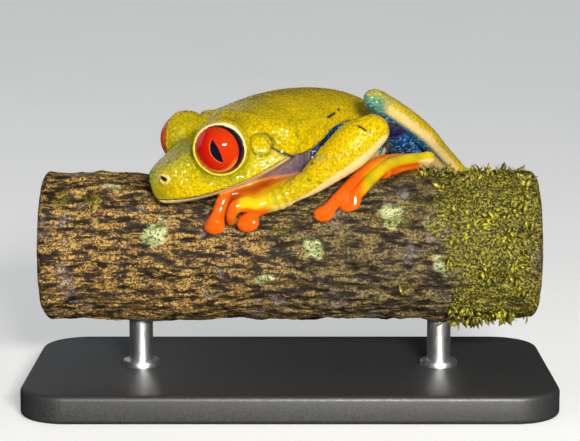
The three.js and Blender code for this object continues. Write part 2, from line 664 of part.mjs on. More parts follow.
function eardrumSolid(side, grow) {
  const at = onCheek(EARDRUM.x, EARDRUM.z, side);
  const axis = headDirection(mirrored(EARDRUM.axis, side));
  const middle = at.addScaledVector(axis, -0.1);
  return rodSolid(middle, axis, EARDRUM.radius + grow, EARDRUM.thickness + 2 * grow, 14);
}

function nostrilSolid(side) {
  const at = onCheek(NOSTRIL.x, NOSTRIL.z, side);
  return solidOf(new THREE.SphereGeometry(NOSTRIL.radius, 8, 6).translate(at.x, at.y, at.z));
}

// ---------- hands and feet ----------

// A flat oval toe disc that lies on the bark.
function discSolid([x, y, z, radius], grow) {
  const outward = new Vector3(0, y, z).normalize().add(DISC_LEAN).normalize();
  const side = new Vector3(1, 0, 0).addScaledVector(outward, -outward.x).normalize();
  const frame = new THREE.Matrix4().makeBasis(side, outward, side.clone().cross(outward)).setPosition(x, y, z);
  const halfThickness = DISC_THICKNESS / 2 + grow;
  const flat = new THREE.SphereGeometry(1, 8, 4);
  flat.scale(radius * DISC_WIDE + grow, halfThickness, radius * DISC_LONG + grow);
  return solidOf(flat.applyMatrix4(frame));
}

function digitsSolid(name, grow) {
  const pieces = DIGITS[name].map(({ rows }) => limbSolid(rows, { grow, sides: DIGIT_SIDES, steps: 1 }));
  const discs = DIGITS[name].filter(({ disc }) => disc).map(({ disc }) => discSolid(disc, grow));
  return joined([...pieces, ...discs]);
}

// ---------- the whole frog ----------

const SIDES = [["left", 1], ["right", -1]];

// The two sides of a cut, each half a gap away from it.
function halves(at, normal) {
  const inner = beyond(at.clone().addScaledVector(normal, -GAP / 2), normal.clone().negate());
  const outer = beyond(at.clone().addScaledVector(normal, GAP / 2), normal);
  return { inner, outer };
}

function standPieces() {
  const holes = ROD_X.map((x) => standRod(x, GAP));
  return [
    ["perch", cutBy(branchSolid(0), holes)],
    ["stand_base", cutBy(baseSolid(), holes)],
    ...ROD_X.map((x, i) => [`stand_rod_${i + 1}`, standRod(x, 0)]),
  ];
}

function bodyPieces(branchRoom) {
  const neck = halves(headPoint(NECK_AT), NECK_NORMAL);
  const head = bodySolid(HEAD, HEAD_GRID, 0).intersect(neck.outer).subtract(branchRoom);
  const trunk = bodySolid(TRUNK, TRUNK_GRID, 0).intersect(neck.inner).subtract(branchRoom);
  const lids = SIDES.map(([, side]) => eyelidSolid(side));
  const holes = SIDES.flatMap(([, side]) => [socketSolid(side), nostrilSolid(side), eardrumSolid(side, GAP)]);
  return [
    ["head", cutBy(joined([head, ...lids]), [belowMouth(GAP / 2), ...holes])],
    ["lower_jaw", head.intersect(belowMouth(-GAP / 2))],
    ["trunk", trunk],
    ...SIDES.map(([name, side]) => [`eye_${name}`, eyeSolid(side)]),
    ...SIDES.map(([name, side]) => [`eardrum_${name}`, eardrumSolid(side, 0)]),
  ];
}

// One side's arm and leg. Each piece is cut clear of the body and of the pieces that it meets.
function limbPieces(name, branchRoom, bodyRoom) {
  const rows = LIMBS[name];
  const [wrist, ankle] = ["hand", "foot"].map((kind) => {
    const { at, toward } = WRISTS[`${kind}_${name}`];
    return halves(new Vector3(...at), new Vector3(...toward).normalize());
  });
  const forearm = (grow) => {
    const stretches = rows.inner_wrist ? [rows.forearm, rows.inner_wrist] : [rows.forearm];
    return joined(stretches.map((stretch) => limbSolid(stretch, { grow })));
  };
  const room = [branchRoom, ...bodyRoom];
  const forearmRoom = forearm(GAP);
  const thighRoom = limbSolid(rows.thigh, { grow: GAP });
  const shankRoom = limbSolid(rows.shank, { grow: GAP });
  const hand = digitsSolid(`hand_${name}`, 0).intersect(wrist.outer);
  const foot = digitsSolid(`foot_${name}`, 0).intersect(ankle.outer);
  const tarsus = limbSolid(rows.tarsus).intersect(ankle.inner);
  return [
    [`forearm_${name}`, cutBy(forearm(0).intersect(wrist.inner), room)],
    [`upper_arm_${name}`, cutBy(limbSolid(rows.upper_arm), [...room, forearmRoom])],
    [`shank_${name}`, cutBy(limbSolid(rows.shank), [...room, forearmRoom])],
    [`thigh_${name}`, cutBy(limbSolid(rows.thigh), [...room, shankRoom, forearmRoom])],
    [`tarsus_${name}`, cutBy(tarsus, [...room, shankRoom, thighRoom])],
    [`hand_${name}`, cutBy(hand, room)],
    [`foot_${name}`, cutBy(foot, [branchRoom, forearmRoom, thighRoom])],
  ];
}

function colourOf(name) {
  if (name.startsWith("stand_rod")) return COLOURS.rod;
  if (name.startsWith("stand")) return COLOURS.stand;
  if (name === "perch") return COLOURS.bark;
  if (name.startsWith("eye_")) return COLOURS.eye;
  if (/^(thigh|upper_arm)/.test(name)) return COLOURS.blue;
  if (/^(hand|foot)/.test(name)) return COLOURS.orange;
  if (/^(tarsus|lower_jaw)/.test(name)) return COLOURS.cream;
  return COLOURS.green;
}

const branchRoom = branchSolid(GAP);
const bodyRoom = [bodySolid(HEAD, HEAD_GRID, GAP), bodySolid(TRUNK, TRUNK_GRID, GAP)];
const pieces = [
  ...standPieces(),
  ...bodyPieces(branchRoom),
  ...SIDES.flatMap(([name]) => limbPieces(name, branchRoom, bodyRoom)),
];

const frog = new THREE.Group();
frog.position.z = BRANCH_HEIGHT;
for (const [name, solid] of pieces) {
  const mesh = new THREE.Mesh(geometryOf(mainBody(solid)), new THREE.MeshStandardMaterial(colourOf(name)));
  mesh.name = name;
  frog.add(mesh);
}

export default frog;
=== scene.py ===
"""A still, life-size red-eyed tree frog on a cut length of branch, held by a small display stand."""

from itertools import product
from math import cos, pi, radians, sin, sqrt

import bpy
import numpy as np
import openvdb
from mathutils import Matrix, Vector


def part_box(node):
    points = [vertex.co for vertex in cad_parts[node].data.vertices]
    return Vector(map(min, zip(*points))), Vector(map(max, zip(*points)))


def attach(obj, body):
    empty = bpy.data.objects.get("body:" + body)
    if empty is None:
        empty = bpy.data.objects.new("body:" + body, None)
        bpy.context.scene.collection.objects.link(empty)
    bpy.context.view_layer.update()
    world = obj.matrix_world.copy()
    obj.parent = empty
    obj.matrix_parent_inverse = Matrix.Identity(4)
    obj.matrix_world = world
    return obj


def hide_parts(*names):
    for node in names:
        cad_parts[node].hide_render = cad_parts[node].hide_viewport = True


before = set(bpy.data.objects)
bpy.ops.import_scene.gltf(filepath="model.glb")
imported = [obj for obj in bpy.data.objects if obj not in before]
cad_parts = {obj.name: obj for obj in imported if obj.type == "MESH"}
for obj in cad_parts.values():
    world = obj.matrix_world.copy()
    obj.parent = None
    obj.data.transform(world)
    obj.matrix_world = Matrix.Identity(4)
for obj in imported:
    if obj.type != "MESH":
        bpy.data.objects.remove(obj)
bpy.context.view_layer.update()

MM = 0.001

# ---------- sizes, in millimetres about the branch's axis: the frog faces -X, +Z is up ----------

BRANCH_HEIGHT = 19.0  # the branch's axis above the floor
BRANCH_RADIUS = 9.5
BRANCH_LENGTH = 62.0
BRANCH_CHAMFER = 0.8
BRANCH_WAVE = 0.12
CHIN_HOLLOW = {"x": -12, "y": 0.5, "along_x": 6.5, "along_y": 5.5, "depth": 1.1}
BARK_RELIEF, PIT_DEPTH = 0.6, 0.35
# Patches of lichen on the near side: middle and radius.
LICHEN = [(-16.6, -9.1, 2.8, 1.6), (2.8, -9.4, 1, 1.1), (12.6, -7.9, 5.3, 1.5), (-3, -9, -2.5, 0.8)]
PAD_SINK = 0.12  # how deep the frog's underside settles into the bark's texture

BASE = {"length": 66.0, "width": 34.0, "height": 3.5, "corner": 6.0, "bevel": 0.6}
ROD_RADIUS = 1.5

HEAD_AT, HEAD_YAW, HEAD_PITCH, HEAD_ROLL = (-10.6, -6.35, 13.97), 24.6, 14, 1
SNOUT_X = 7.9
LIP_HALF_WIDTH = 8.0
FULL_WIDTH_X = -8.5
COLLAR_TAPER = 0.5  # how much of its width the head loses behind the mouth, under the skin of the back
CROWN = [
    (9, -2), (7.3, -1.45), (4.5, -0.5), (2, 0.5), (-1.5, 1.4), (-4, 1.8), (-6.5, 2.1), (-9, 2.1), (-13, 1.6),
]
MOUTH = [(8, -5.1), (5, -5.35), (2, -5.2), (-1, -4.85), (-5, -4), (-8, -3.15), (-11, -1.8), (-14, -0.8)]
THROAT = [(8.2, -5.8), (5, -6.2), (0, -6.4), (-5, -6.2), (-9, -5.6), (-14, -4.5)]
CHEEK_LEAN = [(8, 0.34), (3, 0.44), (-3, 0.34), (-12, 0.22)]
RIDGE = [(8, 0.8), (2, 1.3), (-4, 4), (-10, 6.5)]
# The lower edge of the green skin behind the mouth: it dips at the shoulder's corner.
COLLAR_EDGE = [(-8, -3.15), (-9.3, -3.7), (-11, -4.15), (-13, -3.6), (-16, -3.3)]
LIP_LINE = {"half_width": 0.09, "depth": 0.24}  # the groove between the lips
LORE = {"at": (4.2, 5.1, -2.2), "radii": (3, 1.2, 1.1)}  # the hollow between eye and nostril

EYE_RADIUS = 3.25
EYE_AT = (0, 5.8, -0.15)
EYE_AXIS = (0.56, 0.81, 0.12)
EYE_BULGE = 0.22  # the thickness of the skin that swells over the eyeball
LID_TUBE = 0.2
# Each eye's lids are a ring: how far out it stands, its radius, the opening's radius and its axis.
NEAR_LIDS = {"out": 1.28, "radius": 3.08, "opening": 2.99, "axis": (0.565, 0.84, -0.01)}
FAR_LIDS = {"out": 0.82, "radius": 3.19, "opening": 3.1, "axis": EYE_AXIS}
IRIS_RADIUS = 2.65
FAR_EYE_TURN = 0.45  # how much further forward the far eye looks
# The iris's middle, forwards and upwards from the middle of the lids, and its stretch in those directions.
IRIS_AT, IRIS_STRETCH = (0.22, -0.12), (1.02, 1.045)
PUPIL = {"at": (-0.29, -0.115), "lean": 8.5, "half_height": 1.44, "front": 0.72, "rear": 0.3}

NOSTRIL_SLOT = [(7, 2.1, -2.32), (6.9, 2.23, -2.45), (6.8, 2.36, -2.58)]
NOSTRIL_INWARD, NOSTRIL_RADIUS = (-0.4, -1, -0.1), 0.2
NOSTRIL_SWELLING, SWELLING_RADIUS = (6.7, 1.93, -2.6), 0.55
EARDRUM = {"at": (-4.58, 6.96, -1.08), "axis": (0.05, 0.96, 0.28), "radius": 1.3, "groove": 0.2, "sunk": 0.12}

TRUNK_AT, TRUNK_YAW = (-2.5, 1, 13.4), 42
VENT_X = -27
FLANK_WIDTH = [(7, 5.5), (3.5, 7), (0, 7.3), (-6.8, 7), (-13.3, 6.1), (-19.8, 4.7), (-24, 3.2), (-26.6, 1.4)]
BACK = [(7, 3.5), (3.5, 4.6), (0, 5.6), (-6.8, 5.95), (-12.5, 5), (-18, 2.3), (-23, -1), (-26.6, -3.2)]
BELLY = [
    (7, -2.6), (3.5, -3.4), (0, -3.9), (-6.8, -4.8), (-13.3, -5.2), (-19.8, -5.8), (-24, -6.2), (-26.6, -5.8),
]
# The green skin of the back hangs over the flanks like a cape, from behind the ear drum to the vent.
MANTLE_EDGE = [
    (9, 3), (8, 2), (7.5, 0.8), (6.7, 0.15), (4.8, -0.5), (3.6, -0.65), (1.75, -0.25), (-0.6, 0.65),
    (-2.8, 1.7), (-6.2, 2.4), (-12, 1.6), (-18, -1), (-25, -3.6),
]
MANTLE_WIDTH = [
    (9, 5), (8.2, 8), (7.5, 9.4), (6.7, 10), (5, 10.2), (3.6, 10.1), (1.75, 9.85), (-0.6, 9.3), (-2.8, 8.6),
    (-6.8, 7.7), (-13.3, 6.4), (-19.8, 4.9), (-24, 3.3), (-26.6, 1.5),
]
MANTLE_TURN = 2  # how much further back it starts on the far side, as the head is turned to the near side
MANTLE_FAR_SHARE = 0.8  # and how much narrower it is there
TRUNK_SQUARENESS = 2.25
CHEST = {"at": (2.5, 5.6, -1.9), "radii": (3.6, 2.8, 2.4)}


# Each limb is its stretches in turn, as rows of x, y, z and radius. Left is the camera's side.
ARMS = {
    "left": {
        "upper_arm": [(0.8, -3.4, 12.2, 2.2), (4.9, -5, 11.9, 1.45), (9.2, -7.3, 14.4, 1.5)],
        "forearm": [
            (10, -8, 15.4, 2.05), (8.2, -8.2, 14.2, 2.6), (6.9, -8.3, 13, 2.6), (4.1, -8.3, 10.65, 2.05),
            (2.2, -8.3, 9.1, 1.6), (-0.6, -8.3, 7.65, 1.25), (-2.8, -8.5, 6.85, 0.85),
        ],
        "inner_wrist": [(1, -6.9, 9, 0.9), (-0.6, -6.8, 8.6, 1.15), (-3.6, -6.6, 8.3, 1.2)],
    },
    "right": {
        "upper_arm": [(-6, 5.4, 12, 2.2), (-4.5, 9.5, 10.5, 1.75), (-3.2, 12.6, 8.5, 1.6)],
        "forearm": [
            (-2.6, 13.8, 7.6, 1.9), (-5, 13.4, 7.3, 2.4), (-8.5, 12, 6.7, 2), (-11.2, 10.4, 6.1, 1.25),
            (-13.4, 9.3, 5.6, 1),
        ],
    },
}
LEGS = {
    "left": {
        "thigh": [(16.6, 13.4, 9.6, 2.7), (15, 8, 12.6, 2.75), (13, 1.5, 16, 2.1), (11, -2.6, 18.3, 1.35)],
        "shank": [
            (10.3, -4, 18.9, 1.25), (13.3, -0.5, 16.8, 1.45), (16.9, 4, 13.8, 1.38), (19.4, 8, 10.95, 1.22),
            (21.7, 11, 8.4, 1.1), (24, 13.5, 5.9, 0.95),
        ],
        "tarsus": [(23, 12.4, 6.2, 0.9), (19.7, 7.6, 8.5, 0.82), (17.6, 2.6, 10.75, 0.85)],
    },
    "right": {
        "thigh": [(12, 18, 9.3, 2.7), (6.5, 16.5, 11, 2.75), (-1, 13, 13, 2.1), (-5, 11.2, 13.5, 1.4)],
        "thigh": [(12, 18, 9.3, 2.7), (6.5, 16.5, 11, 2.75), (-1, 13, 13, 2.1), (-5, 11.2, 13.5, 1.4)],
        "shank": [
            (-6, 10.8, 13.4, 1.4), (-1.5, 15, 11.6, 1.45), (4.5, 19.5, 8.6, 1.25), (11.5, 23.2, 4.4, 0.95),
        ],
        "tarsus": [(10.8, 22.4, 3.5, 0.95), (8.5, 19.2, 1.2, 0.85), (4.8, 13.8, -0.8, 0.95)],
    },
}
# Digits, inner to outer: the rows, and the middle and radius of the disc each ends in.
HANDS = {
    "left": [
        ([(-1.6, -6.8, 8.4, 1.15), (-4.5, -6.4, 8.3, 1.3), (-6.6, -6.7, 8, 1.1), (-8, -7.3, 7.4, 0.9)], None),
        (
            [(-4, -7.4, 7.5, 1.1), (-7, -7.6, 7.6, 1), (-8.1, -8.3, 6.9, 0.84), (-8.6, -8.6, 5.6, 0.88),
             (-9.1, -9.1, 4.4, 0.9)],
            (-9.2, -9.15, 3.9, 1.3),
        ),
        (
            [(-0.8, -8.2, 7.3, 1), (-4, -8.8, 6.4, 1.05), (-5.3, -9.3, 6.6, 0.98), (-6.5, -9.8, 6.4, 0.82),
             (-7.1, -10, 5.5, 0.64), (-7.2, -9.3, 4.5, 0.5)],
            None,
        ),
        (
            [(-1.6, -7.8, 6.9, 0.95), (-3.5, -8.1, 6, 0.85), (-4.6, -8.6, 5.2, 0.75), (-5, -8.9, 4.6, 0.75)],
            (-5.15, -9.1, 4.3, 1.42),
        ),
    ],
    "right": [
        ([(-11.6, 9.9, 6.1, 0.95), (-13.6, 7.9, 7, 0.8), (-14.3, 6.2, 8.5, 0.7)], (-14.6, 5.4, 8.4, 1.15)),
        ([(-11.6, 9.9, 6, 0.95), (-14.8, 8.4, 6.5, 0.75), (-16.4, 7.9, 6.5, 0.7)], (-17, 7.6, 6.3, 1.2)),
        ([(-11.6, 10, 5.8, 0.95), (-15, 9.6, 4.8, 0.75), (-17.2, 9.2, 4.3, 0.7)], (-17.9, 9, 4.1, 1.3)),
        ([(-11.6, 10, 5.6, 0.9), (-13.8, 10.2, 3.2, 0.75), (-15, 10, 1.8, 0.7)], (-15.5, 9.8, 1.2, 1.25)),
    ],
}
FEET = {
    "left": [
        ([(17.5, 3.4, 10.3, 0.75), (16.2, 6, 9, 0.65), (14.6, 7, 8, 0.6)], (14, 7.1, 7.2, 0.95)),
        ([(17.5, 3.4, 10.3, 0.75), (14.6, 4.4, 9.9, 0.65), (12.2, 4.6, 9.4, 0.6)], (11.3, 4.4, 9.1, 1)),
        ([(17.5, 3.3, 10.2, 0.75), (15.2, 1, 10, 0.7), (12.6, -2, 9.7, 0.65)], (11.8, -2.8, 9.5, 1)),
        (
            [(17.4, 3.6, 10.3, 0.75), (16.2, 3, 10.4, 0.8), (13.3, 0.4, 10.8, 0.85), (10.6, -2.8, 10.6, 0.85),
             (8.2, -5, 9, 0.85), (6.4, -7.3, 7.45, 0.88), (4.9, -8.3, 6.1, 0.75)],
            (4.1, -8.35, 5.3, 1.3),
        ),
        (
            [(17.6, 3, 10.6, 0.8), (16.8, 2.2, 10.75, 0.82), (14.9, 0.4, 10.75, 0.85),
             (12.3, -2.3, 10.5, 0.85), (10.2, -4.9, 9.3, 0.8), (8.8, -6.8, 8.1, 0.78),
             (7.9, -7.5, 7.3, 0.78)],
            (7.25, -7.6, 6.5, 1.42),
        ),
    ],
    "right": [
        ([(6.2, 15.8, -0.1, 0.85), (5.2, 11.2, 4, 0.65), (4.7, 9.2, 5, 0.6)], (4.5, 8.4, 5.5, 0.95)),
        ([(6.2, 15.8, -0.2, 0.9), (3.4, 11.4, 3, 0.7), (1.5, 9.7, 4, 0.65)], (0.9, 9, 4.3, 1.05)),
        ([(6.2, 15.8, -0.3, 0.95), (1.5, 11.4, 1.5, 0.75), (-2.4, 10.2, 2.3, 0.7)], (-3.2, 9.7, 2.4, 1.15)),
        (
            [(6.2, 15.8, -0.4, 1), (1, 11.2, -0.9, 0.9), (-3.5, 10.5, -1.2, 0.8), (-7, 10.3, -0.8, 0.7)],
            (-8, 9.9, -0.6, 1.3),
        ),
        (
            [(6.2, 15.8, -0.5, 1), (2.5, 11.8, -3, 0.85), (-1, 10, -4, 0.75), (-3.6, 9.5, -4.1, 0.7)],
            (-4.5, 9, -4, 1.3),
        ),
    ],
}
DISC_HALF_THICKNESS = 0.66
DISC_ROUNDING = 1.0
DISC_WIDE, DISC_LONG = 1.08, 0.84
DISC_LEAN = np.array((-0.35, 0, -0.15))
TOE_WEB = {"hand": (0.1, 1.3, 3), "foot": (0.1, 0.5, 1.5)}  # how digits blend, as Grid.join takes it
LIMB_WEB = (0.12, 1.1, 2.4)
ROOT_WEB = (0.15, 1.6, 3.8)  # a limb's blend with the body, how much more at its root, and the reach of that

# Fine folds and flecks of the near side, each a line along the skin: its kind, half width and places. The
# crease lines are folds painted dark as painted shade.
MARKS = [
    ("crease", 0.1, [(4.32, -4.03, 16.55), (5, -3.15, 16.75), (5.62, -2.19, 17.05), (6.32, -0.88, 17.55)]),
    (
        "crease", 0.08,
        [(7.48, -9.53, 16.31), (8.19, -9.91, 16.23), (8.66, -10.15, 16.02), (9.14, -10.31, 15.67)],
    ),
    ("crease", 0.12, [(2.55, -9.36, 11.7), (2.75, -9.36, 11.64)]),
    ("green", 0.15, [(1.82, -9.72, 9.77), (2.66, -10.03, 9.56), (4.24, -9.88, 9.3)]),
    ("green", 0.3, [(0.5, -9.7, 15.2), (1, -9.65, 15)]),
]

SKIN_CELL, BARK_CELL = ((0.135, 0.17))
LEAF_COUNT = 6000
LEAF_LENGTH, LEAF_WIDTH_SHARE, LEAF_THICKNESS = (0.8, 1.7), 0.22, 0.05
GRANULE = 0.44  # spacing of the skin's granules
GRANULE_HEIGHT = 0.05
WRINKLE_DEPTH, WRINKLE_SPACING = 0.09, 0.95
COBBLE = 0.46  # spacing of the round warts of the thighs and flanks
COBBLE_HEIGHT = 0.09
SKIN_LOW, SKIN_HIGH = (-21.6, -16.5, -6.6), (27, 26.1, 22.2)
FAR = 3.0  # the largest distance that the skin's grid holds
MARGIN = 2.0  # how far around a stretch of limb its shape is worked out

# ---------- small mathematics ----------


def unit(v):
    v = np.array(v, float)
    return v / np.linalg.norm(v)


def body_frame(yaw_degrees, pitch_degrees=0, roll_degrees=0):
    """Forward, left and up of a body part: yaw turns it from -X to the near side, pitch lowers its nose
    and roll lifts its left."""
    yaw, pitch, roll = radians(yaw_degrees), radians(pitch_degrees), radians(roll_degrees)
    forward = np.array([-cos(yaw) * cos(pitch), -sin(yaw) * cos(pitch), -sin(pitch)])
    left = np.array([sin(yaw), -cos(yaw), 0])
    up = np.cross(forward, left)
    return np.array([forward, left * cos(roll) + up * sin(roll), up * cos(roll) - left * sin(roll)])


HEAD_AXES = body_frame(HEAD_YAW, HEAD_PITCH, HEAD_ROLL)
TRUNK_AXES = body_frame(TRUNK_YAW)
LORE_AXES = np.array([unit((1, -0.35, 0)), unit((0.35, 1, 0)), (0, 0, 1)])


def dot(a, b):
    return a[0] * b[0] + a[1] * b[1] + a[2] * b[2]


def length(x, y, z):
    return np.sqrt(x * x + y * y + z * z)


def away(p, at):
    """The three coordinates of points as seen from a place. p is the tuple of x, y and z arrays."""
    return [c - a for c, a in zip(p, at)]


def local(p, at, axes):
    """The three coordinates of points in a body part's own frame."""
    return [dot(away(p, at), axis) for axis in axes]


def placed(q, at, axes):
    """A point of a body part's own frame, about the branch's axis."""
    return np.array(at) + np.array(q, float) @ axes


def about_axis(p, at, axis):
    """How far each point lies out along an axis through a place, and its distance from that axis."""
    q = away(p, at)
    out = dot(q, axis)
    return out, np.sqrt(np.maximum(length(*q) ** 2 - out**2, 0))


def hermite(t, start, end, start_slope, end_slope):
    """A smooth passage from start to end, which leaves and arrives with the slopes given."""
    t2, t3 = t * t, t * t * t
    rise = (2 * t3 - 3 * t2 + 1) * start + (3 * t2 - 2 * t3) * end
    return rise + (t3 - 2 * t2 + t) * start_slope + (t3 - t2) * end_slope


def curve(rows):
    """A smooth curve through (x, value) rows, held level past its ends."""
    xs, ys = np.array(sorted(rows), float).T
    after = np.minimum(np.arange(len(xs)) + 1, len(xs) - 1)
    before = np.maximum(np.arange(len(xs)) - 1, 0)
    slopes = (ys[after] - ys[before]) / (xs[after] - xs[before])

    def value(x):
        i = np.clip(np.searchsorted(xs, x) - 1, 0, len(xs) - 2)
        width = xs[i + 1] - xs[i]
        t = np.clip((x - xs[i]) / width, 0, 1)
        return hermite(t, ys[i], ys[i + 1], width * slopes[i], width * slopes[i + 1])

    return value


crown, mouth, throat = curve(CROWN), curve(MOUTH), curve(THROAT)
cheek_lean, ridge = curve(CHEEK_LEAN), curve(RIDGE)
flank_width, back, belly = curve(FLANK_WIDTH), curve(BACK), curve(BELLY)
mantle_edge, mantle_width, collar_edge = curve(MANTLE_EDGE), curve(MANTLE_WIDTH), curve(COLLAR_EDGE)


def smooth_min(a, b, blend):
    h = np.maximum(blend - np.abs(a - b), 0) / blend
    return np.minimum(a, b) - h * h * blend * 0.25


def smooth_max(a, b, blend):
    return -smooth_min(-a, -b, blend)


def step(low, high, x):
    """0 below low, 1 above high, and a smooth rise between them."""
    t = np.clip((x - low) / (high - low), 0, 1)
    return t * t * (3 - 2 * t)


def near(x, middle, width):
    """1 at the middle, falling off smoothly over the width."""
    return np.exp(-(((x - middle) / width) ** 2))


def ball(p, at, radius):
    return length(*away(p, at)) - radius


def ellipsoid(p, at, radii, axes):
    q = local(p, at, axes)
    close = length(*(c / r for c, r in zip(q, radii)))
    steep = length(*(c / r**2 for c, r in zip(q, radii)))
    return close * (close - 1) / np.maximum(steep, 1e-6)


def beside_bar(p, a, b):
    """Each point as seen from the nearest place on the line between two (x, y, z, radius) ends, and the
    radius there."""
    along = b[:3] - a[:3]
    q = away(p, a)
    t = np.clip(dot(q, along) / (along @ along), 0, 1)
    return [c - t * s for c, s in zip(q, along)], a[3] + (b[3] - a[3]) * t


def chain(p, path):
    """Signed distance to round bars that join (x, y, z, radius) rows."""
    bars = []
    for a, b in zip(path, path[1:]):
        side, radius = beside_bar(p, np.array(a, float), np.array(b, float))
        bars.append(length(*side) - radius)
    return np.minimum.reduce(bars)


def route(rows, steps=4):
    """The (x, y, z, radius) rows made into a smooth path of short spans."""
    rows = np.array(rows, float)
    path = []
    for i in range(len(rows) - 1):
        before, a, b, after = rows[max(i - 1, 0)], rows[i], rows[i + 1], rows[min(i + 2, len(rows) - 1)]
        path += [hermite(n / steps, a, b, (b - before) / 2, (after - a) / 2) for n in range(steps)]
    return np.array(path + [rows[-1]])


def hashed(i, j, k, seed):
    """A number from 0 to 1 for each whole-number place, the same on every run."""
    n = (i * 73856093 ^ j * 19349663 ^ k * 83492791 ^ seed * 2654435761) & 0xFFFFFFFF
    n = ((n ^ (n >> 13)) * 1274126177) & 0xFFFFFFFF
    n = ((n ^ (n >> 16)) * 2246822519) & 0xFFFFFFFF
    return ((n ^ (n >> 15)) & 0xFFFFFF) / 0xFFFFFF


def noise(p, size, seed, octaves=1):
    """Smooth noise from -1 to 1 whose bumps are about the size given."""
    total, weight = 0, 0
    for octave in range(octaves):
        q = [np.asarray(c, float) / size * 2**octave + 100 for c in p]
        cell = [np.floor(c).astype(np.int64) for c in q]
        past = [c - i for c, i in zip(q, cell)]
        past = [c * c * (3 - 2 * c) for c in past]
        value = 0
        for corner in product((0, 1), repeat=3):
            share = 1
            for c, f in zip(corner, past):
                share = share * (f if c else 1 - f)
            value = value + share * hashed(*(i + c for i, c in zip(cell, corner)), seed + octave)
        total = total + (2 * value - 1) * 0.5**octave
        weight += 0.5**octave
    return total / weight


def pebbles(p, size, seed):
    """How far each point is from the nearest of many scattered middles, as a share of their spacing."""
    q = [np.asarray(c, float) / size + 100 for c in p]
    cell = [np.floor(c).astype(np.int64) for c in q]
    best = np.full(len(q[0]), 9.0)
    for shift in product((-1, 0, 1), repeat=3):
        at = [c + s for c, s in zip(cell, shift)]
        spot = [a + 0.5 + 0.7 * (hashed(*at, seed + n) - 0.5) for n, a in enumerate(at)]
        best = np.minimum(best, length(*away(q, spot)))
    return best


# ---------- the body's surface: negative inside, positive outside ----------

OVAL_SLOPE = 0.92  # brings an oval's own measure close to a true distance


def bark_radius(x, angle):
    wave = BRANCH_WAVE * (np.sin(0.31 * x + 3 * angle) + np.sin(0.17 * x - 2 * angle + 1))
    y = BRANCH_RADIUS * np.cos(angle)
    hollow = near(x, CHIN_HOLLOW["x"], CHIN_HOLLOW["along_x"])
    hollow = hollow * near(y, CHIN_HOLLOW["y"], CHIN_HOLLOW["along_y"])
    return BRANCH_RADIUS + wave - CHIN_HOLLOW["depth"] * hollow * (np.sin(angle) > 0)


def lip_half_width(x):
    s = np.clip((x - FULL_WIDTH_X) / (SNOUT_X - FULL_WIDTH_X), 0, 1)
    behind = np.clip((FULL_WIDTH_X + 0.5 - x) / 5, 0, 1)
    return LIP_HALF_WIDTH * np.maximum(1 - s**2.3, 0) ** 0.62 * (1 - COLLAR_TAPER * behind**1.2)


def head_form(x, y, z):
    """The head without its eyes. y is the distance from the middle."""
    # Under the lips the outline slants back to the chin.
    slanted = x + 0.8 * np.clip((-3.4 - z) / 2.6, 0, 1.3) ** 2
    width = lip_half_width(slanted)
    slope = (lip_half_width(slanted + 0.05) - lip_half_width(slanted - 0.05)) / 0.1
    lips, top, bottom, rounding = mouth(x), crown(x), throat(x), ridge(x)
    rise = np.clip((z - lips) / (top - lips), 0, 1.2)
    drop = np.clip((lips - z) / (lips - bottom), 0, 1.2)
    # The head is widest at its lips: above them the cheeks lean in, and below them the jaw narrows.
    half = np.where(z < lips, width * (0.97 - 0.42 * drop), width * (1 - cheek_lean(x) * rise**1.5))
    d = smooth_max((y - half) / np.sqrt(1 + slope * slope), z - top, rounding)
    d = smooth_max(d, bottom - z, np.minimum(rounding, 2.6))
    return smooth_max(d, -14 - x, 4)


def by_side(signed_y, near_value, far_value):
    return np.where(signed_y > 0, near_value, far_value)


def lids(signed_y, measure):
    return by_side(signed_y, NEAR_LIDS[measure], FAR_LIDS[measure])


def eye_place(x, signed_y, z):
    """Points in the terms of the eye on their side: out along the axis of its lids, the distance from that
    axis, and the distance from the eye's middle."""
    e = away((x, np.abs(signed_y), z), EYE_AT)
    axis = [by_side(signed_y, *pair) for pair in zip(unit(NEAR_LIDS["axis"]), unit(FAR_LIDS["axis"]))]
    out = dot(e, axis)
    from_eye = length(*e)
    return out, np.sqrt(np.maximum(from_eye**2 - out**2, 0)), from_eye


def eardrum_place(q):
    return about_axis(q, EARDRUM["at"], unit(EARDRUM["axis"]))


def nostril(q):
    """Distance to the slanted hole that runs inwards from its slot."""
    ends = [(at, np.add(at, NOSTRIL_INWARD)) for at in NOSTRIL_SLOT]
    return np.minimum.reduce([chain(q, [(*at, NOSTRIL_RADIUS) for at in pair]) for pair in ends])


def with_snout(d, q):
    """The head with the groove between its lips, the hollow before each eye, and its nostrils."""
    groove = LIP_LINE["half_width"] - np.abs(q[2] - mouth(q[0]))
    d = smooth_max(d, np.minimum(groove, d + LIP_LINE["depth"]), 0.12)
    d = smooth_max(d, -ellipsoid(q, LORE["at"], LORE["radii"], LORE_AXES), 1)
    d = smooth_min(d, ball(q, NOSTRIL_SWELLING, SWELLING_RADIUS), 0.6)
    return smooth_max(d, -nostril(q), 0.1)


def with_eardrums(d, q):
    """The head with its eardrums: flat discs, sunk within a ring-shaped groove."""
    _, around = eardrum_place(q)
    sunk = d - EARDRUM["sunk"] * step(EARDRUM["radius"], 0.8, around)
    d = np.where(around < EARDRUM["radius"], sunk, d)
    ring = np.hypot(around - EARDRUM["radius"] - 0.1, d)
    return smooth_max(d, EARDRUM["groove"] - ring, 0.15)


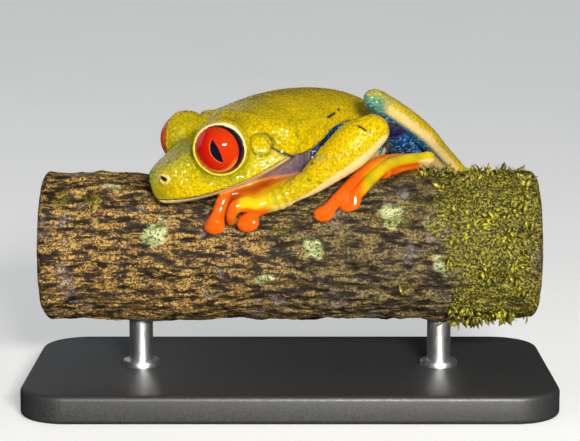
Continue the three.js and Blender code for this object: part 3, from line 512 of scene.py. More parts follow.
def with_eyes(d, x, signed_y, z):
    """The head with its bulging eyes, the ring of each eye's lids, and the opening for the eyeball."""
    lid_out = lids(signed_y, "out")
    out, around, from_eye = eye_place(x, signed_y, z)
    bulge = smooth_max(from_eye - EYE_RADIUS - EYE_BULGE, out - lid_out - 0.1, 0.3)
    d = smooth_min(d, bulge, 0.9)
    d = np.maximum(d, -np.maximum(around - lids(signed_y, "opening"), 0.4 - out))
    ring = np.hypot(around - lids(signed_y, "radius"), out - lid_out) - LID_TUBE
    d = smooth_min(d, ring, 0.15)
    return np.maximum(d, EYE_RADIUS + 0.02 - from_eye)


def head_surface(p):
    x, signed_y, z = local(p, HEAD_AT, HEAD_AXES)
    q = (x, np.abs(signed_y), z)
    d = with_snout(head_form(*q), q)
    d = with_eardrums(d, q)
    return with_eyes(d, x, signed_y, z)


def mantle_place(x, y):
    """The height of the green skin's edge beside a point of the trunk, and how far along its edge that is."""
    start = x + MANTLE_TURN * np.clip(-y / 9, 0, 1)
    return mantle_edge(start), start


def mantle_surface(p, x, y, z):
    """The cape of green skin over the trunk, cut free of the eardrum."""
    edge, start = mantle_place(x, y)
    width = mantle_width(start) * (1 - (1 - MANTLE_FAR_SHARE) * (y < 0) * step(-8, 2, x))
    widest = edge + 0.3
    height = np.where(z > widest, np.maximum(back(x) + 0.05 - widest, 1), 0.9)
    d = (np.hypot(y / width, (z - widest) / height) - 1) * np.minimum(width, height) * OVAL_SLOPE
    d = smooth_max(smooth_max(d, VENT_X + 3 - x, 1.8), start - 8.6, 1.6)
    hx, hy, hz = local(p, HEAD_AT, HEAD_AXES)
    return smooth_max(d, -ball((hx, np.abs(hy), hz), EARDRUM["at"], EARDRUM["radius"] + 0.25), 0.25)


def trunk_surface(p):
    x, y, z = local(p, TRUNK_AT, TRUNK_AXES)
    top, bottom, width = back(x), belly(x), flank_width(x)
    middle = 0.42 * top + 0.58 * bottom
    height = np.where(z > middle, top - middle, middle - bottom)
    n = TRUNK_SQUARENESS
    section = (np.abs(y / width) ** n + np.abs((z - middle) / height) ** n) ** (1 / n)
    d = (section - 1) * np.minimum(width, height) * OVAL_SLOPE
    d = smooth_max(d, VENT_X - x, 1.8)
    d = smooth_max(d, x - 7.5, 2)
    d = smooth_min(d, ellipsoid((x, np.abs(y), z), CHEST["at"], CHEST["radii"], np.eye(3)), 1.5)
    return smooth_min(d, mantle_surface(p, x, y, z), 0.35)


class Stretch:
    """A stretch of a limb or digit: a smooth strand through its rows, with a flat disc if it ends in one."""

    def __init__(self, rows, disc=None):
        self.path, self.disc = route(rows), disc

    def box(self, margin):
        rows = self.path if self.disc is None else np.vstack([self.path, self.disc])
        return (rows[:, :3] - rows[:, 3:]).min(0) - margin, (rows[:, :3] + rows[:, 3:]).max(0) + margin

    def distance(self, p):
        d = chain(p, self.path)
        if self.disc is None:
            return d
        x, y, z, r = self.disc
        outward = unit(unit((0, y, z)) + DISC_LEAN)
        side = unit((1, 0, 0) - outward[0] * outward)
        across, along, out = local(p, (x, y, z), np.array([side, np.cross(outward, side), outward]))
        oval = 0.9 * (np.hypot(across / DISC_WIDE, along / DISC_LONG) - r)
        pad = smooth_max(oval, np.abs(out) - DISC_HALF_THICKNESS, DISC_ROUNDING)
        return smooth_min(d, pad, 0.45)

    def around(self, p):
        """The direction of each point from the stretch's middle line, as a share of the radius there."""
        best = np.full(len(p[0]), 99.0)
        nearest = np.zeros((3, len(p[0])))
        for a, b in zip(self.path, self.path[1:]):
            side, radius = beside_bar(p, a, b)
            side = np.array(side) / radius
            d = length(*side) * radius - radius
            closer = d < best
            best = np.where(closer, d, best)
            nearest = np.where(closer, side, nearest)
        return nearest


class Grid:
    """Signed distances at the corners of a block of small cubes."""

    def __init__(self, low, high):
        self.start = np.floor((np.array(low) - SKIN_LOW) / SKIN_CELL).astype(int)
        stop = np.ceil((np.array(high) - SKIN_LOW) / SKIN_CELL).astype(int)
        whole = np.ceil((np.array(SKIN_HIGH) - SKIN_LOW) / SKIN_CELL).astype(int)
        self.start, stop = np.clip(self.start, 0, whole), np.clip(stop, 0, whole)
        self.values = np.full(tuple(stop - self.start), FAR, np.float32)

    def part(self):
        """Where this grid lies in the whole one."""
        return tuple(slice(a, a + n) for a, n in zip(self.start, self.values.shape))

    def window(self, low, high):
        """The part of the grid in a box: its slices, and its places as x, y and z arrays."""
        inner = Grid(low, high)
        start = np.maximum(inner.start - self.start, 0)
        stop = np.minimum(inner.start + inner.values.shape - self.start, self.values.shape)
        axes = [
            (SKIN_LOW[i] + SKIN_CELL * (self.start[i] + np.arange(start[i], stop[i]))).astype(np.float32)
            for i in range(3)
        ]
        return tuple(slice(a, b) for a, b in zip(start, stop)), np.meshgrid(*axes, indexing="ij", sparse=True)

    def join(self, distance, box, joint, web):
        """Adds a shape to the grid. web is its blend away from the joint, its blend there, and the reach."""
        part, p = self.window(*box)
        plain, at_joint, reach = web
        blend = plain + (at_joint - plain) * near(length(*away(p, joint)), 0, reach)
        self.values[part] = smooth_min(self.values[part], distance(p).astype(np.float32), blend)


def corners_box(low, high, at, axes):
    """The box about the branch's axes that holds a box of a body part's own frame."""
    corners = [placed(corner, at, axes) for corner in product(*zip(low, high))]
    return np.min(corners, 0), np.max(corners, 0)


stretches = {}  # every stretch of limb by its name, for the skin's markings


def limb_grid(kind, side, limb, digits):
    """A whole arm or leg as a grid of its own, so that it creases where it lies against itself, and the
    place where it leaves the body."""
    parts = {name: Stretch(rows) for name, rows in limb.items()}
    toes = {f"{kind}_digit_{n}": Stretch(rows, disc) for n, (rows, disc) in enumerate(digits)}
    boxes = [s.box(MARGIN) for s in [*parts.values(), *toes.values()]]
    grid = Grid(np.min([b[0] for b in boxes], 0), np.max([b[1] for b in boxes], 0))
    for group, web in ((parts, LIMB_WEB), (toes, TOE_WEB[kind])):
        for name, s in group.items():
            grid.join(s.distance, s.box(MARGIN), s.path[0][:3], web)
            stretches[f"{name}_{side}"] = s
    return grid, next(iter(parts.values())).path[0][:3]


def add_head(body):
    """Joins the head to the trunk: tightly along the green skin's edge, smoothly over nape and throat."""
    box = corners_box((-16, -11.5, -8.5), (10, 11.5, 6), HEAD_AT, HEAD_AXES)
    head = Grid(*box)
    head.join(head_surface, box, HEAD_AT, (0.1, 0.1, 1))
    x, y, z = local(head.window(*box)[1], TRUNK_AT, TRUNK_AXES)
    above = z - mantle_place(x, y)[0]
    neck = 0.35 + 2.4 * step(0.6, 3.2, above) + 1.6 * step(-1.5, -3.5, above)
    part = head.part()
    body.values[part] = smooth_min(body.values[part], head.values, neck.astype(np.float32))


def add_limb(body, limb, root):
    low, high = (SKIN_LOW + SKIN_CELL * (limb.start + np.array(end)) for end in (0, limb.values.shape))
    _, p = body.window(low, high)
    plain, more, reach = ROOT_WEB
    blend = plain + more * near(length(*away(p, root)), 0, reach)
    blend = blend[tuple(slice(0, n) for n in limb.values.shape)]
    part = limb.part()
    body.values[part] = smooth_min(body.values[part], limb.values, blend)


def skin_grid():
    body = Grid(SKIN_LOW, SKIN_HIGH)
    box = corners_box((VENT_X - 1, -11.5, -8), (10, 11.5, 8), TRUNK_AT, TRUNK_AXES)
    body.join(trunk_surface, box, TRUNK_AT, (0.1, 0.1, 1))
    add_head(body)
    for kind, limbs, ends in (("hand", ARMS, HANDS), ("foot", LEGS, FEET)):
        for side in ("left", "right"):
            add_limb(body, *limb_grid(kind, side, limbs[side], ends[side]))
    x, y, z = body.window(SKIN_LOW, SKIN_HIGH)[1]
    clear = bark_radius(x, np.arctan2(z, y)) - PAD_SINK - np.hypot(y, z)
    body.values = smooth_max(body.values, clear.astype(np.float32), 0.2)
    return body


# ---------- meshes ----------


def mesh_object(name, points, faces, smooth=True):
    """A mesh piece from points in millimetres about the branch's axis."""
    mesh = bpy.data.meshes.new(name)
    points = (np.asarray(points, float) + (0, 0, BRANCH_HEIGHT)) * MM
    faces = faces.tolist() if isinstance(faces, np.ndarray) else faces
    mesh.from_pydata(points.tolist(), [], faces)
    mesh.validate()
    mesh.update()
    mesh.shade_smooth() if smooth else mesh.shade_flat()
    piece = bpy.data.objects.new(name, mesh)
    bpy.context.scene.collection.objects.link(piece)
    return piece


def give(piece, **attributes):
    """Stores numbers or vectors at a piece's points, for its material to read."""
    for name, values in attributes.items():
        values = np.asarray(values, np.float32)
        kind = "FLOAT" if values.ndim == 1 else "FLOAT_VECTOR"
        layer = piece.data.attributes.new(name, kind, "POINT")
        layer.data.foreach_set("value" if values.ndim == 1 else "vector", values.ravel())


def point_normals(points, quads):
    a, b, c, d = (points[quads[:, n]] for n in range(4))
    face = np.cross(c - a, d - b)
    total = np.zeros_like(points)
    for n in range(4):
        np.add.at(total, quads[:, n], face)
    return total / np.maximum(np.linalg.norm(total, axis=1, keepdims=True), 1e-9)


def capped_tube(rings, sides):
    """Faces over rings of points that follow one another, with a flat face at each end."""
    faces = []
    for i in range(rings - 1):
        for k in range(sides):
            a, b = i * sides + k, i * sides + (k + 1) % sides
            faces.append((a, b, b + sides, a + sides))
    last = (rings - 1) * sides
    return [*faces, tuple(range(sides))[::-1], tuple(range(last, last + sides))]


# ---------- materials ----------


class Paint:
    """A material made of nodes, around one principled surface."""

    def __init__(self, name, **surface):
        self.material = bpy.data.materials.new(name)
        self.material.use_nodes = True
        self.tree = self.material.node_tree
        self.surface = self.tree.nodes["Principled BSDF"]
        for socket, value in surface.items():
            self.surface.inputs[socket.replace("_", " ").title().replace("Ior", "IOR")].default_value = value
        self.place = self.node("TexCoord").outputs["Object"]

    def node(self, kind, settings=None, inputs=None):
        node = self.tree.nodes.new("ShaderNode" + kind)
        for name, value in (settings or {}).items():
            setattr(node, name, value)
        for name, value in (inputs or {}).items():
            self.set(node.inputs[name], value)
        return node

    def set(self, socket, value):
        if isinstance(value, bpy.types.NodeSocket):
            self.tree.links.new(value, socket)
        elif isinstance(value, (tuple, list)) and len(value) == 3 and socket.type == "RGBA":
            socket.default_value = (*value, 1)
        else:
            socket.default_value = value

    def use(self, **sockets):
        for name, value in sockets.items():
            self.set(self.surface.inputs[name.replace("_", " ")], value)

    def attribute(self, name, output="Fac"):
        return self.node("Attribute", {"attribute_name": name}).outputs[output]

    def scaled(self, scale):
        """The place, stretched: scale is repeats per metre along x, y and z."""
        return self.node("VectorMath", {"operation": "MULTIPLY"}, {0: self.place, 1: scale}).outputs[0]

    def noise(self, size, detail=2, rough=0.5, vector=None):
        """Smooth noise from 0 to 1 whose patches are about size millimetres."""
        scale = 1 / (size * MM) if vector is None else 1 / size
        inputs = {"Vector": vector or self.place, "Scale": scale, "Detail": detail, "Roughness": rough}
        return self.node("TexNoise", None, inputs).outputs["Fac"]

    def grains(self, size):
        """The distance from the nearest of many middles that lie about size millimetres apart."""
        inputs = {"Vector": self.place, "Scale": 1 / (size * MM)}
        return self.node("TexVoronoi", {"feature": "F1"}, inputs).outputs["Distance"]

    def math(self, operation, a, b=0.0):
        return self.node("Math", {"operation": operation}, {0: a, 1: b}).outputs[0]

    def plus(self, a, b):
        return self.math("ADD", a, b)

    def minus(self, a, b):
        return self.math("SUBTRACT", a, b)

    def times(self, a, b):
        return self.math("MULTIPLY", a, b)

    def radius(self, u, v):
        """The distance of (u, v) from the middle."""
        return self.math("SQRT", self.plus(self.times(u, u), self.times(v, v)))

    def towards(self, u, v, u_share, v_share):
        """How far a place lies in a direction of the plane of u and v."""
        return self.plus(self.times(u, u_share), self.times(v, v_share))

    def span(self, value, low, high, to_low=0.0, to_high=1.0):
        """value mapped smoothly from low..high to to_low..to_high."""
        inputs = {"Value": value, "From Min": low, "From Max": high, "To Min": to_low, "To Max": to_high}
        return self.node("MapRange", {"interpolation_type": "SMOOTHSTEP"}, inputs).outputs["Result"]

    def mix(self, factor, a, b, blend="MIX"):
        node = self.node("Mix", {"data_type": "RGBA", "blend_type": blend})
        for socket, value in zip((node.inputs[0], node.inputs[6], node.inputs[7]), (factor, a, b)):
            self.set(socket, value)
        return node.outputs[2]

    def two_tone(self, pattern, low, high, first, second):
        """The first colour where the pattern is below low, the second where it is above high."""
        return self.mix(self.span(pattern, low, high), first, second)

    def bump(self, height, depth, normal=None):
        """A bump of that depth in millimetres."""
        inputs = {"Height": height, "Distance": depth * MM, "Strength": 1.0}
        if normal is not None:
            inputs["Normal"] = normal
        return self.node("Bump", None, inputs).outputs["Normal"]


YELLOW_GREEN = (0.66, 0.475, 0.002)
LEAF_GREEN = (0.21, 0.27, 0.012)
WARM_YELLOW = (0.74, 0.51, 0.003)
SNOUT_SHEEN_GREEN = (0.40, 0.46, 0.19)
IVORY = (0.84, 0.70, 0.44)
CREAM = (0.84, 0.61, 0.25)
ORANGE = (0.74, 0.12, 0.004)
DEEP_ORANGE = (0.55, 0.045, 0.002)
SHADED_ORANGE = (0.14, 0.013, 0.002)
DEEP_BLUE = (0.002, 0.09, 0.45)
BLUE_WART_HIGHLIGHT = (0.16, 0.58, 0.80)
PURPLE = (0.012, 0.016, 0.11)
LILAC_SHADE = (0.17, 0.12, 0.16)
TEAL = (0.12, 0.32, 0.24)
CREASE_SHADE = (0.012, 0.014, 0.004)
VALLEY_SHADE = (0.84, 0.82, 0.65)
FINE_VALLEY_SHADE = (0.5, 0.48, 0.2)
ROSE_REFLECTION = (0.54, 0.065, 0.085)
AMBER = (0.74, 0.19, 0.02)
PUPIL_BLACK = (0.004, 0.005, 0.014)
FINE_GRAIN = 0.3  # spacing of the fine domes painted between the granules
DROP_SPACING = 0.46  # spacing of the hollows in the wet coat that sparkle


def skin_colour(paint):
    """The skin's markings, each a coat of its colour over the ones before it."""
    patch, speck = paint.noise(3.2, 3, 0.6), paint.noise(0.5, 2, 0.6)
    blue = paint.two_tone(patch, 0.4, 0.6, DEEP_BLUE, PURPLE)
    # Painted highlight: the tops of the blue warts are painted bright blue.
    blue = paint.mix(paint.attribute("cobble"), blue, BLUE_WART_HIGHLIGHT)
    orange = paint.mix(0.5, paint.two_tone(speck, 0.35, 0.7, ORANGE, DEEP_ORANGE), ORANGE)
    # Painted shade: the palm's orange is darkened where the head shadows it.
    orange = paint.mix(paint.attribute("shade"), orange, SHADED_ORANGE)
    # Among these coats, the snout's pale stripe is a painted sheen, the lilac is painted shade and the ivory
    # is partly a painted highlight.
    coats = {
        "yellow": WARM_YELLOW, "pale": SNOUT_SHEEN_GREEN, "green": LEAF_GREEN, "blue": blue, "teal": TEAL,
        "cream": CREAM, "ivory": IVORY, "violet": LILAC_SHADE, "orange": orange,
    }
    colour = paint.mix(paint.span(patch, 0.45, 0.8, 0, 0.4), YELLOW_GREEN, LEAF_GREEN)
    for marking, coat in coats.items():
        colour = paint.mix(paint.attribute(marking), colour, coat)
    return colour


def skin_paint():
    """Wet skin, with painted shade between its granules, under a clear coat whose own bumps catch the light.
    """
    paint = Paint(
        "frog_skin", roughness=0.5, specular_ior_level=0, coat_roughness=0.04, coat_ior=1.5,
        subsurface_weight=0.06, subsurface_radius=(1, 0.6, 0.25), subsurface_scale=0.7 * MM,
    )
    grain, granular = paint.grains(FINE_GRAIN), paint.attribute("grain")
    between = paint.times(paint.span(grain, 0.4, 0.75, 0, 0.6), granular)
    colour = skin_colour(paint)
    # Painted shade: the colour is darkened in the valleys between the granules.
    colour = paint.mix(paint.span(paint.attribute("valley"), 0.3, 1), colour, VALLEY_SHADE, "MULTIPLY")
    colour = paint.mix(between, colour, FINE_VALLEY_SHADE, "MULTIPLY")
    # Painted shade: folds, grooves, the lip line and the nostril's hole are painted near black.
    paint.use(Base_Color=paint.mix(paint.attribute("crease"), colour, CREASE_SHADE))
    domes = paint.bump(paint.times(paint.span(grain, 0, 0.7, 1, 0), granular), 0.07)
    paint.use(Normal=paint.bump(paint.noise(0.12, 2, 0.6), 0.016, domes))
    drop = paint.grains(DROP_SPACING)
    paint.use(Coat_Normal=paint.bump(paint.times(paint.times(drop, drop), granular), -0.085))
    # The wet coat is thinned over the painted palm shade and the dark creases.
    dry = paint.math("MAXIMUM", paint.attribute("shade"), paint.attribute("crease"))
    paint.use(Coat_Weight=paint.span(dry, 0, 1, 1, 0.1))
    return paint.material


def iris_colour(paint, side, u, v, radius):
    """Red with fine streaks, deepened upwards and towards the snout by painted shade, and amber at its lower
    edge; the near eye has a painted rosy reflection and the far eye, lying in shade, is painted brighter.
    """
    angle = paint.math("ARCTAN2", v, u)
    spoke = paint.node("CombineXYZ", None, {0: paint.times(angle, 3.2), 1: paint.times(radius, 0.6)})
    streak = paint.noise(0.16, 3, 0.6, spoke.outputs[0])
    red = paint.two_tone(u, -1.6, 1.9, (0.50, 0.031, 0.002), (0.50, 0.005, 0.002))
    red = paint.mix(paint.span(streak, 0.4, 0.7, 0, 0.4), red, (0.42, 0.006, 0.003))
    forward = paint.plus(u, paint.times(v, 0.62))
    # Painted shade: the red deepens upwards and towards the snout.
    red = paint.mix(paint.span(forward, 0.6, 2.4, 0, 0.6), red, (0.46, 0.003, 0.003))
    if side == "left":
        # Painted reflection: a rosy patch in the near eye's upper front corner.
        corner = paint.towards(u, v, 0.6, 0.8)
        rosy_reflection = paint.times(paint.span(corner, 1.6, 2.15, 0, 0.85), paint.span(forward, 2.05, 2.15))
        red = paint.mix(rosy_reflection, red, ROSE_REFLECTION)
    else:
        # Painted light: the far eye lies in shade, so its red is painted brighter.
        red = paint.mix(0.7, red, (0.95, 0.13, 0.04))
    below = paint.minus(paint.times(u, 0.4), v)
    amber = paint.times(paint.span(radius, 2.22, 2.42), paint.span(below, 0.2, 1.8, 0, 0.9))
    return paint.mix(amber, red, AMBER)


def pupil_edge(paint, s, t):
    """How far a place lies outside the pupil, which is where two circles overlap, its front one rounder."""
    tall = PUPIL["half_height"]
    sides = []
    for sign, bulge in ((1, PUPIL["front"]), (-1, PUPIL["rear"])):
        far = (tall**2 - bulge**2) / (2 * bulge)
        sides.append(paint.minus(paint.radius(paint.plus(s, sign * far), t), far + bulge))
    return paint.math("MAXIMUM", *sides)


def eye_paint(side):
    """Iris, pupil and dark rim, from each point's place on the eye: forward, up and out, in millimetres."""
    paint = Paint(
        f"frog_eye_{side}", roughness=0.4, specular_ior_level=0, coat_weight=1, coat_roughness=0.02,
        coat_ior=1.45,
    )
    seen = paint.node("SeparateXYZ", None, {0: paint.attribute("eye_place", "Vector")}).outputs
    u, v = (paint.math("DIVIDE", paint.minus(seen[n], IRIS_AT[n]), IRIS_STRETCH[n]) for n in (0, 1))
    radius = paint.radius(u, v)
    colour = iris_colour(paint, side, u, v, radius)
    # The pupil's line leans towards the snout at its top.
    lean = radians(PUPIL["lean"])
    s = paint.minus(paint.towards(u, v, cos(lean), -sin(lean)), PUPIL["at"][0])
    t = paint.minus(paint.towards(u, v, sin(lean), cos(lean)), PUPIL["at"][1])
    pupil = pupil_edge(paint, s, t)
    ring = paint.times(paint.span(pupil, 0.06, 0.16, 0.8, 0), paint.span(s, -0.1, 0.3))
    colour = paint.mix(ring, colour, (0.78, 0.20, 0.015))
    colour = paint.mix(paint.span(pupil, -0.02, 0.05, 1, 0), colour, PUPIL_BLACK)
    # Painted sheen: the dark rim turns a lighter violet towards the back of the eye.
    rim = paint.mix(paint.span(seen[0], -2.7, -3.1, 0, 0.5), (0.008, 0.004, 0.014), (0.10, 0.06, 0.13))
    paint.use(Base_Color=paint.two_tone(radius, IRIS_RADIUS - 0.04, IRIS_RADIUS + 0.04, colour, rim))
    return paint.material


def bark_paint():
    """Wet brown bark: darkened with painted shade in its cracks, golden on its ridges, with scattered lichen
    and moss.
    """
    paint = Paint("bark", roughness=0.5, specular_ior_level=0.15, coat_weight=0.25, coat_roughness=0.1)
    streak = paint.noise(0.7, 5, 0.7, paint.scaled((300, 1000, 1000)))
    speck, patch = paint.noise(0.28, 3, 0.7), paint.noise(6, 3, 0.6)
    golden = paint.two_tone(speck, 0.42, 0.6, (0.10, 0.045, 0.008), (0.62, 0.38, 0.09))
    # The right part of the branch is damper and darker.
    along = paint.node("SeparateXYZ", None, {0: paint.place}).outputs[0]
    damp = paint.times(paint.span(along, -15 * MM, 8 * MM), paint.span(patch, 0.3, 0.5, 0.4, 1))
    damp_wood = paint.two_tone(speck, 0.4, 0.6, (0.05, 0.03, 0.008), (0.27, 0.20, 0.07))
    golden = paint.mix(damp, golden, damp_wood)
    colour = paint.two_tone(streak, 0.44, 0.57, (0.014, 0.007, 0.002), golden)
    grey = paint.two_tone(speck, 0.4, 0.62, (0.10, 0.075, 0.07), (0.38, 0.32, 0.34))
    colour = paint.mix(paint.span(patch, 0.57, 0.68, 0, 0.6), colour, grey)
    # Painted shade: the bark's cracks, low in its relief, are painted near black.
    crack = paint.span(paint.attribute("height"), 0.5, 0.2, 0, 0.95)
    colour = paint.mix(crack, colour, (0.010, 0.006, 0.003))
    grown = paint.times(paint.attribute("lichen"), paint.span(speck, 0.38, 0.5))
    lichen = paint.two_tone(streak, 0.4, 0.6, (0.22, 0.28, 0.05), (0.62, 0.66, 0.34))
    colour = paint.mix(grown, colour, lichen)
    grown = paint.times(paint.attribute("moss"), paint.span(speck, 0.3, 0.45, 0.3, 1))
    moss = paint.two_tone(speck, 0.45, 0.62, (0.02, 0.02, 0.002), (0.36, 0.30, 0.012))
    normal = paint.bump(speck, 0.16, paint.bump(streak, 0.5))
    paint.use(Base_Color=paint.mix(grown, colour, moss), Normal=normal, Coat_Normal=normal)
    paint.use(Roughness=paint.span(streak, 0.3, 0.7, 0.35, 0.7))
    return paint.material


def moss_paint():
    paint = Paint("moss_leaf", roughness=0.35)
    vein = paint.noise(0.25, 2)
    colour = paint.two_tone(paint.noise(2.5, 2), 0.35, 0.65, (0.05, 0.05, 0.003), (0.46, 0.40, 0.012))
    paint.use(Base_Color=paint.mix(paint.span(vein, 0.4, 0.7, 0, 0.5), colour, (0.42, 0.40, 0.05)))
    paint.use(Normal=paint.bump(vein, 0.03))
    return paint.material


def cut_wood_paint():
    """Year rings about the branch's middle, with fine pores and a dark bark edge."""
    paint = Paint("cut_wood", roughness=0.7)
    place = paint.node("SeparateXYZ", None, {0: paint.attribute("ring_place", "Vector")}).outputs
    radius = paint.radius(place[1], place[2])
    wobble = paint.times(paint.noise(5, 2), 1.4)
    ring = paint.math("SINE", paint.times(paint.plus(radius, wobble), 6.0))
    colour = paint.two_tone(ring, -0.6, 0.9, (0.42, 0.27, 0.13), (0.26, 0.145, 0.06))
    pore = paint.grains(0.35)
    colour = paint.mix(paint.span(pore, 0.0, 0.25, 0.5, 0), colour, (0.10, 0.05, 0.02))
    colour = paint.two_tone(radius, 7.9, 8.5, colour, (0.05, 0.028, 0.014))
    paint.use(Base_Color=colour, Normal=paint.bump(paint.noise(0.3, 3), 0.08))
    return paint.material


def stand_paint(name, first, second, rough_low, rough_high, depth, size, scale=None, **surface):
    """A plain paint with a fine grain of two close colours."""
    paint = Paint(name, **surface)
    fine = paint.noise(size, 3, 0.7, paint.scaled(scale) if scale else None)
    paint.use(Base_Color=paint.two_tone(fine, 0.3, 0.7, first, second), Normal=paint.bump(fine, depth))
    paint.use(Roughness=paint.span(fine, 0.3, 0.7, rough_low, rough_high))
    return paint.material


def steel_paint():
    steel = ((0.56, 0.56, 0.57), (0.66, 0.66, 0.67), 0.26, 0.4, 0.004)
    return stand_paint("brushed_steel", *steel, 0.25, scale=(4000, 4000, 200), metallic=1.0, roughness=0.32)


def base_paint():
    black = ((0.018, 0.018, 0.019), (0.03, 0.03, 0.031), 0.42, 0.6, 0.02)
    return stand_paint("matte_black_base", *black, 0.18, roughness=0.5)


def floor_paint():
    """Pale, with a little glow of its own, to the eye only, that keeps it pale all the way back."""
    paint = Paint("studio_floor", roughness=0.8)
    paint.use(Base_Color=paint.two_tone(paint.noise(60, 2), 0.3, 0.7, (0.72, 0.72, 0.71), (0.75, 0.75, 0.74)))
    glow = paint.times(paint.node("LightPath").outputs["Is Camera Ray"], 0.34)
    paint.use(Emission_Color=(1, 1, 0.99), Emission_Strength=glow)
    return paint.material


# ---------- the frog ----------


MARKING_BLUR = 0.22  # how softly one part's markings pass into the next one's


def part_shares(p):
    """How much each named part of the body owns each point of the skin, from 0 to 1."""
    x, y, z = local(p, HEAD_AT, HEAD_AXES)
    distances = {"head": head_form(x, np.abs(y), z), "trunk": trunk_surface(p)}
    distances |= {name: s.distance(p) for name, s in stretches.items()}
    closest = np.minimum.reduce(list(distances.values()))
    shares = {name: np.exp(-(d - closest) / MARKING_BLUR) for name, d in distances.items()}
    total = sum(shares.values())
    return {name: share / total for name, share in shares.items()}


class SkinPlaces:
    """What the markings need to know about every point of the skin."""

    def __init__(self, points):
        self.p = tuple(points.T)
        self.share = part_shares(self.p)
        self.wander = noise(self.p, 1.6, 5, 2)
        hx, signed_y, hz = local(self.p, HEAD_AT, HEAD_AXES)
        self.in_head = hx, np.abs(signed_y), hz
        self.in_trunk = tx, ty, tz = local(self.p, TRUNK_AT, TRUNK_AXES)
        self.lid_out, self.lid_radius = lids(signed_y, "out"), lids(signed_y, "radius")
        self.eye_out, self.from_eye_axis, _ = eye_place(hx, signed_y, hz)
        self.under_lips = np.where(hx > FULL_WIDTH_X + 0.5, mouth(hx), collar_edge(hx)) - hz
        self.below_lips = step(0.0, 0.12, self.under_lips) * self.share["head"]
        self.over_mantle_edge = tz - mantle_place(tx, ty)[0]
        below = step(0, 0.15, -0.25 - self.over_mantle_edge)
        self.below_mantle = below * self.share["trunk"] * step(8.4, 7.8, tx)
        self.digits = self.of("hand_digit", "foot_digit", "inner_wrist")

    def of(self, *names):
        """How much the parts whose names begin so own each point."""
        return sum(s for name, s in self.share.items() if name.startswith(names))

    def facing(self, name, forward, outward, up):
        """How far each point lies to that side of a stretch's middle line, from -1 to 1."""
        side = 1 if name.endswith("left") else -1
        return dot(stretches[name].around(self.p), unit((forward, side * outward, up)) @ TRUNK_AXES)


def mark_trunk(marks, skin):
    """Blue flanks with pale bars under the green mantle, a cream belly, and lilac painted shade over the
    chest and the throat's side.
    """
    (tx, _, tz), (hx, hy, _) = skin.in_trunk, skin.in_head
    flank = step(-4.2, -3.2, skin.over_mantle_edge + 0.8 * skin.wander)
    blue = skin.below_mantle * flank
    bars = step(0.55, 0.8, np.sin(1.9 * tx + 0.9 * tz + skin.wander)) * step(-5, -7, tx)
    throat_side = step(-2.5, -5, hx) * step(0.5, 0.8, skin.under_lips) * step(2, 4, hy)
    marks["blue"] = blue * (1 - 0.85 * bars)
    marks["cream"] = skin.below_mantle * (1 - flank) + blue * bars * 0.85 + skin.below_lips
    # Painted shade: the white chest under the mantle's front and the throat's side are coloured lilac grey.
    marks["violet"] = skin.below_mantle * step(0.6, 2.4, tx) * 0.9 + skin.share["head"] * throat_side
    marks["yellow"] = skin.share["trunk"] * step(-5, -17, tx) * 0.7


def mark_limbs(marks, skin):
    """Blue upper arms and thighs, and yellow forearms and shanks with a cream fringe below."""
    for side in ("left", "right"):
        forearm, thigh, shank, tarsus = (
            skin.share[f"{name}_{side}"] for name in ("forearm", "thigh", "shank", "tarsus")
        )
        fringe = skin.facing(f"forearm_{side}", -0.2, 0.5, -0.85) - 0.2 * step(6, -1, skin.p[0])
        dorsal = skin.facing(f"shank_{side}", -0.51, 0.4, 0.75) + 0.15 * skin.wander
        inner = skin.facing(f"shank_{side}", 0.6, -0.1, -0.6)
        marks["blue"] += step(0.4, 0.6, skin.share[f"upper_arm_{side}"]) + thigh
        marks["blue"] += shank * step(0.4, 0.75, inner)
        marks["teal"] += shank * near(inner, 0.6, 0.16) * 0.7
        marks["cream"] += forearm * step(0.6, 0.72, fringe + 0.06 * skin.wander)
        marks["cream"] += shank * (1 - step(0.1, 0.6, dorsal)) * step(0.75, 0.4, inner)
        marks["cream"] += tarsus * step(0.5, 0.1, skin.facing(f"tarsus_{side}", 0, 0.2, 0.95))
        marks["yellow"] += forearm * 0.75 + shank * 0.6


def mark_knees(marks, skin):
    """Green on top of each knee, and mottled teal around it."""
    leg = skin.of("shank", "thigh")
    knees, tops = np.zeros_like(leg), np.zeros_like(leg)
    for side in ("left", "right"):
        x, y, z, r = stretches[f"shank_{side}"].path[0]
        knee = step(2.1, 0.5, ball(skin.p, (x - 0.8, y, z - 0.7), r))
        rise = (0.6 * (skin.p[0] - x) + 0.8 * (skin.p[2] - z)) / r
        knees = np.maximum(knees, knee)
        tops = np.maximum(tops, step(0.55, 0.95, rise) * knee)
    marks["cream"] *= 1 - knees * leg
    marks["teal"] += knees * (1 - tops) * leg * (0.7 + 0.5 * noise(skin.p, 0.7, 15))
    marks["blue"] *= 1 - 0.9 * tops


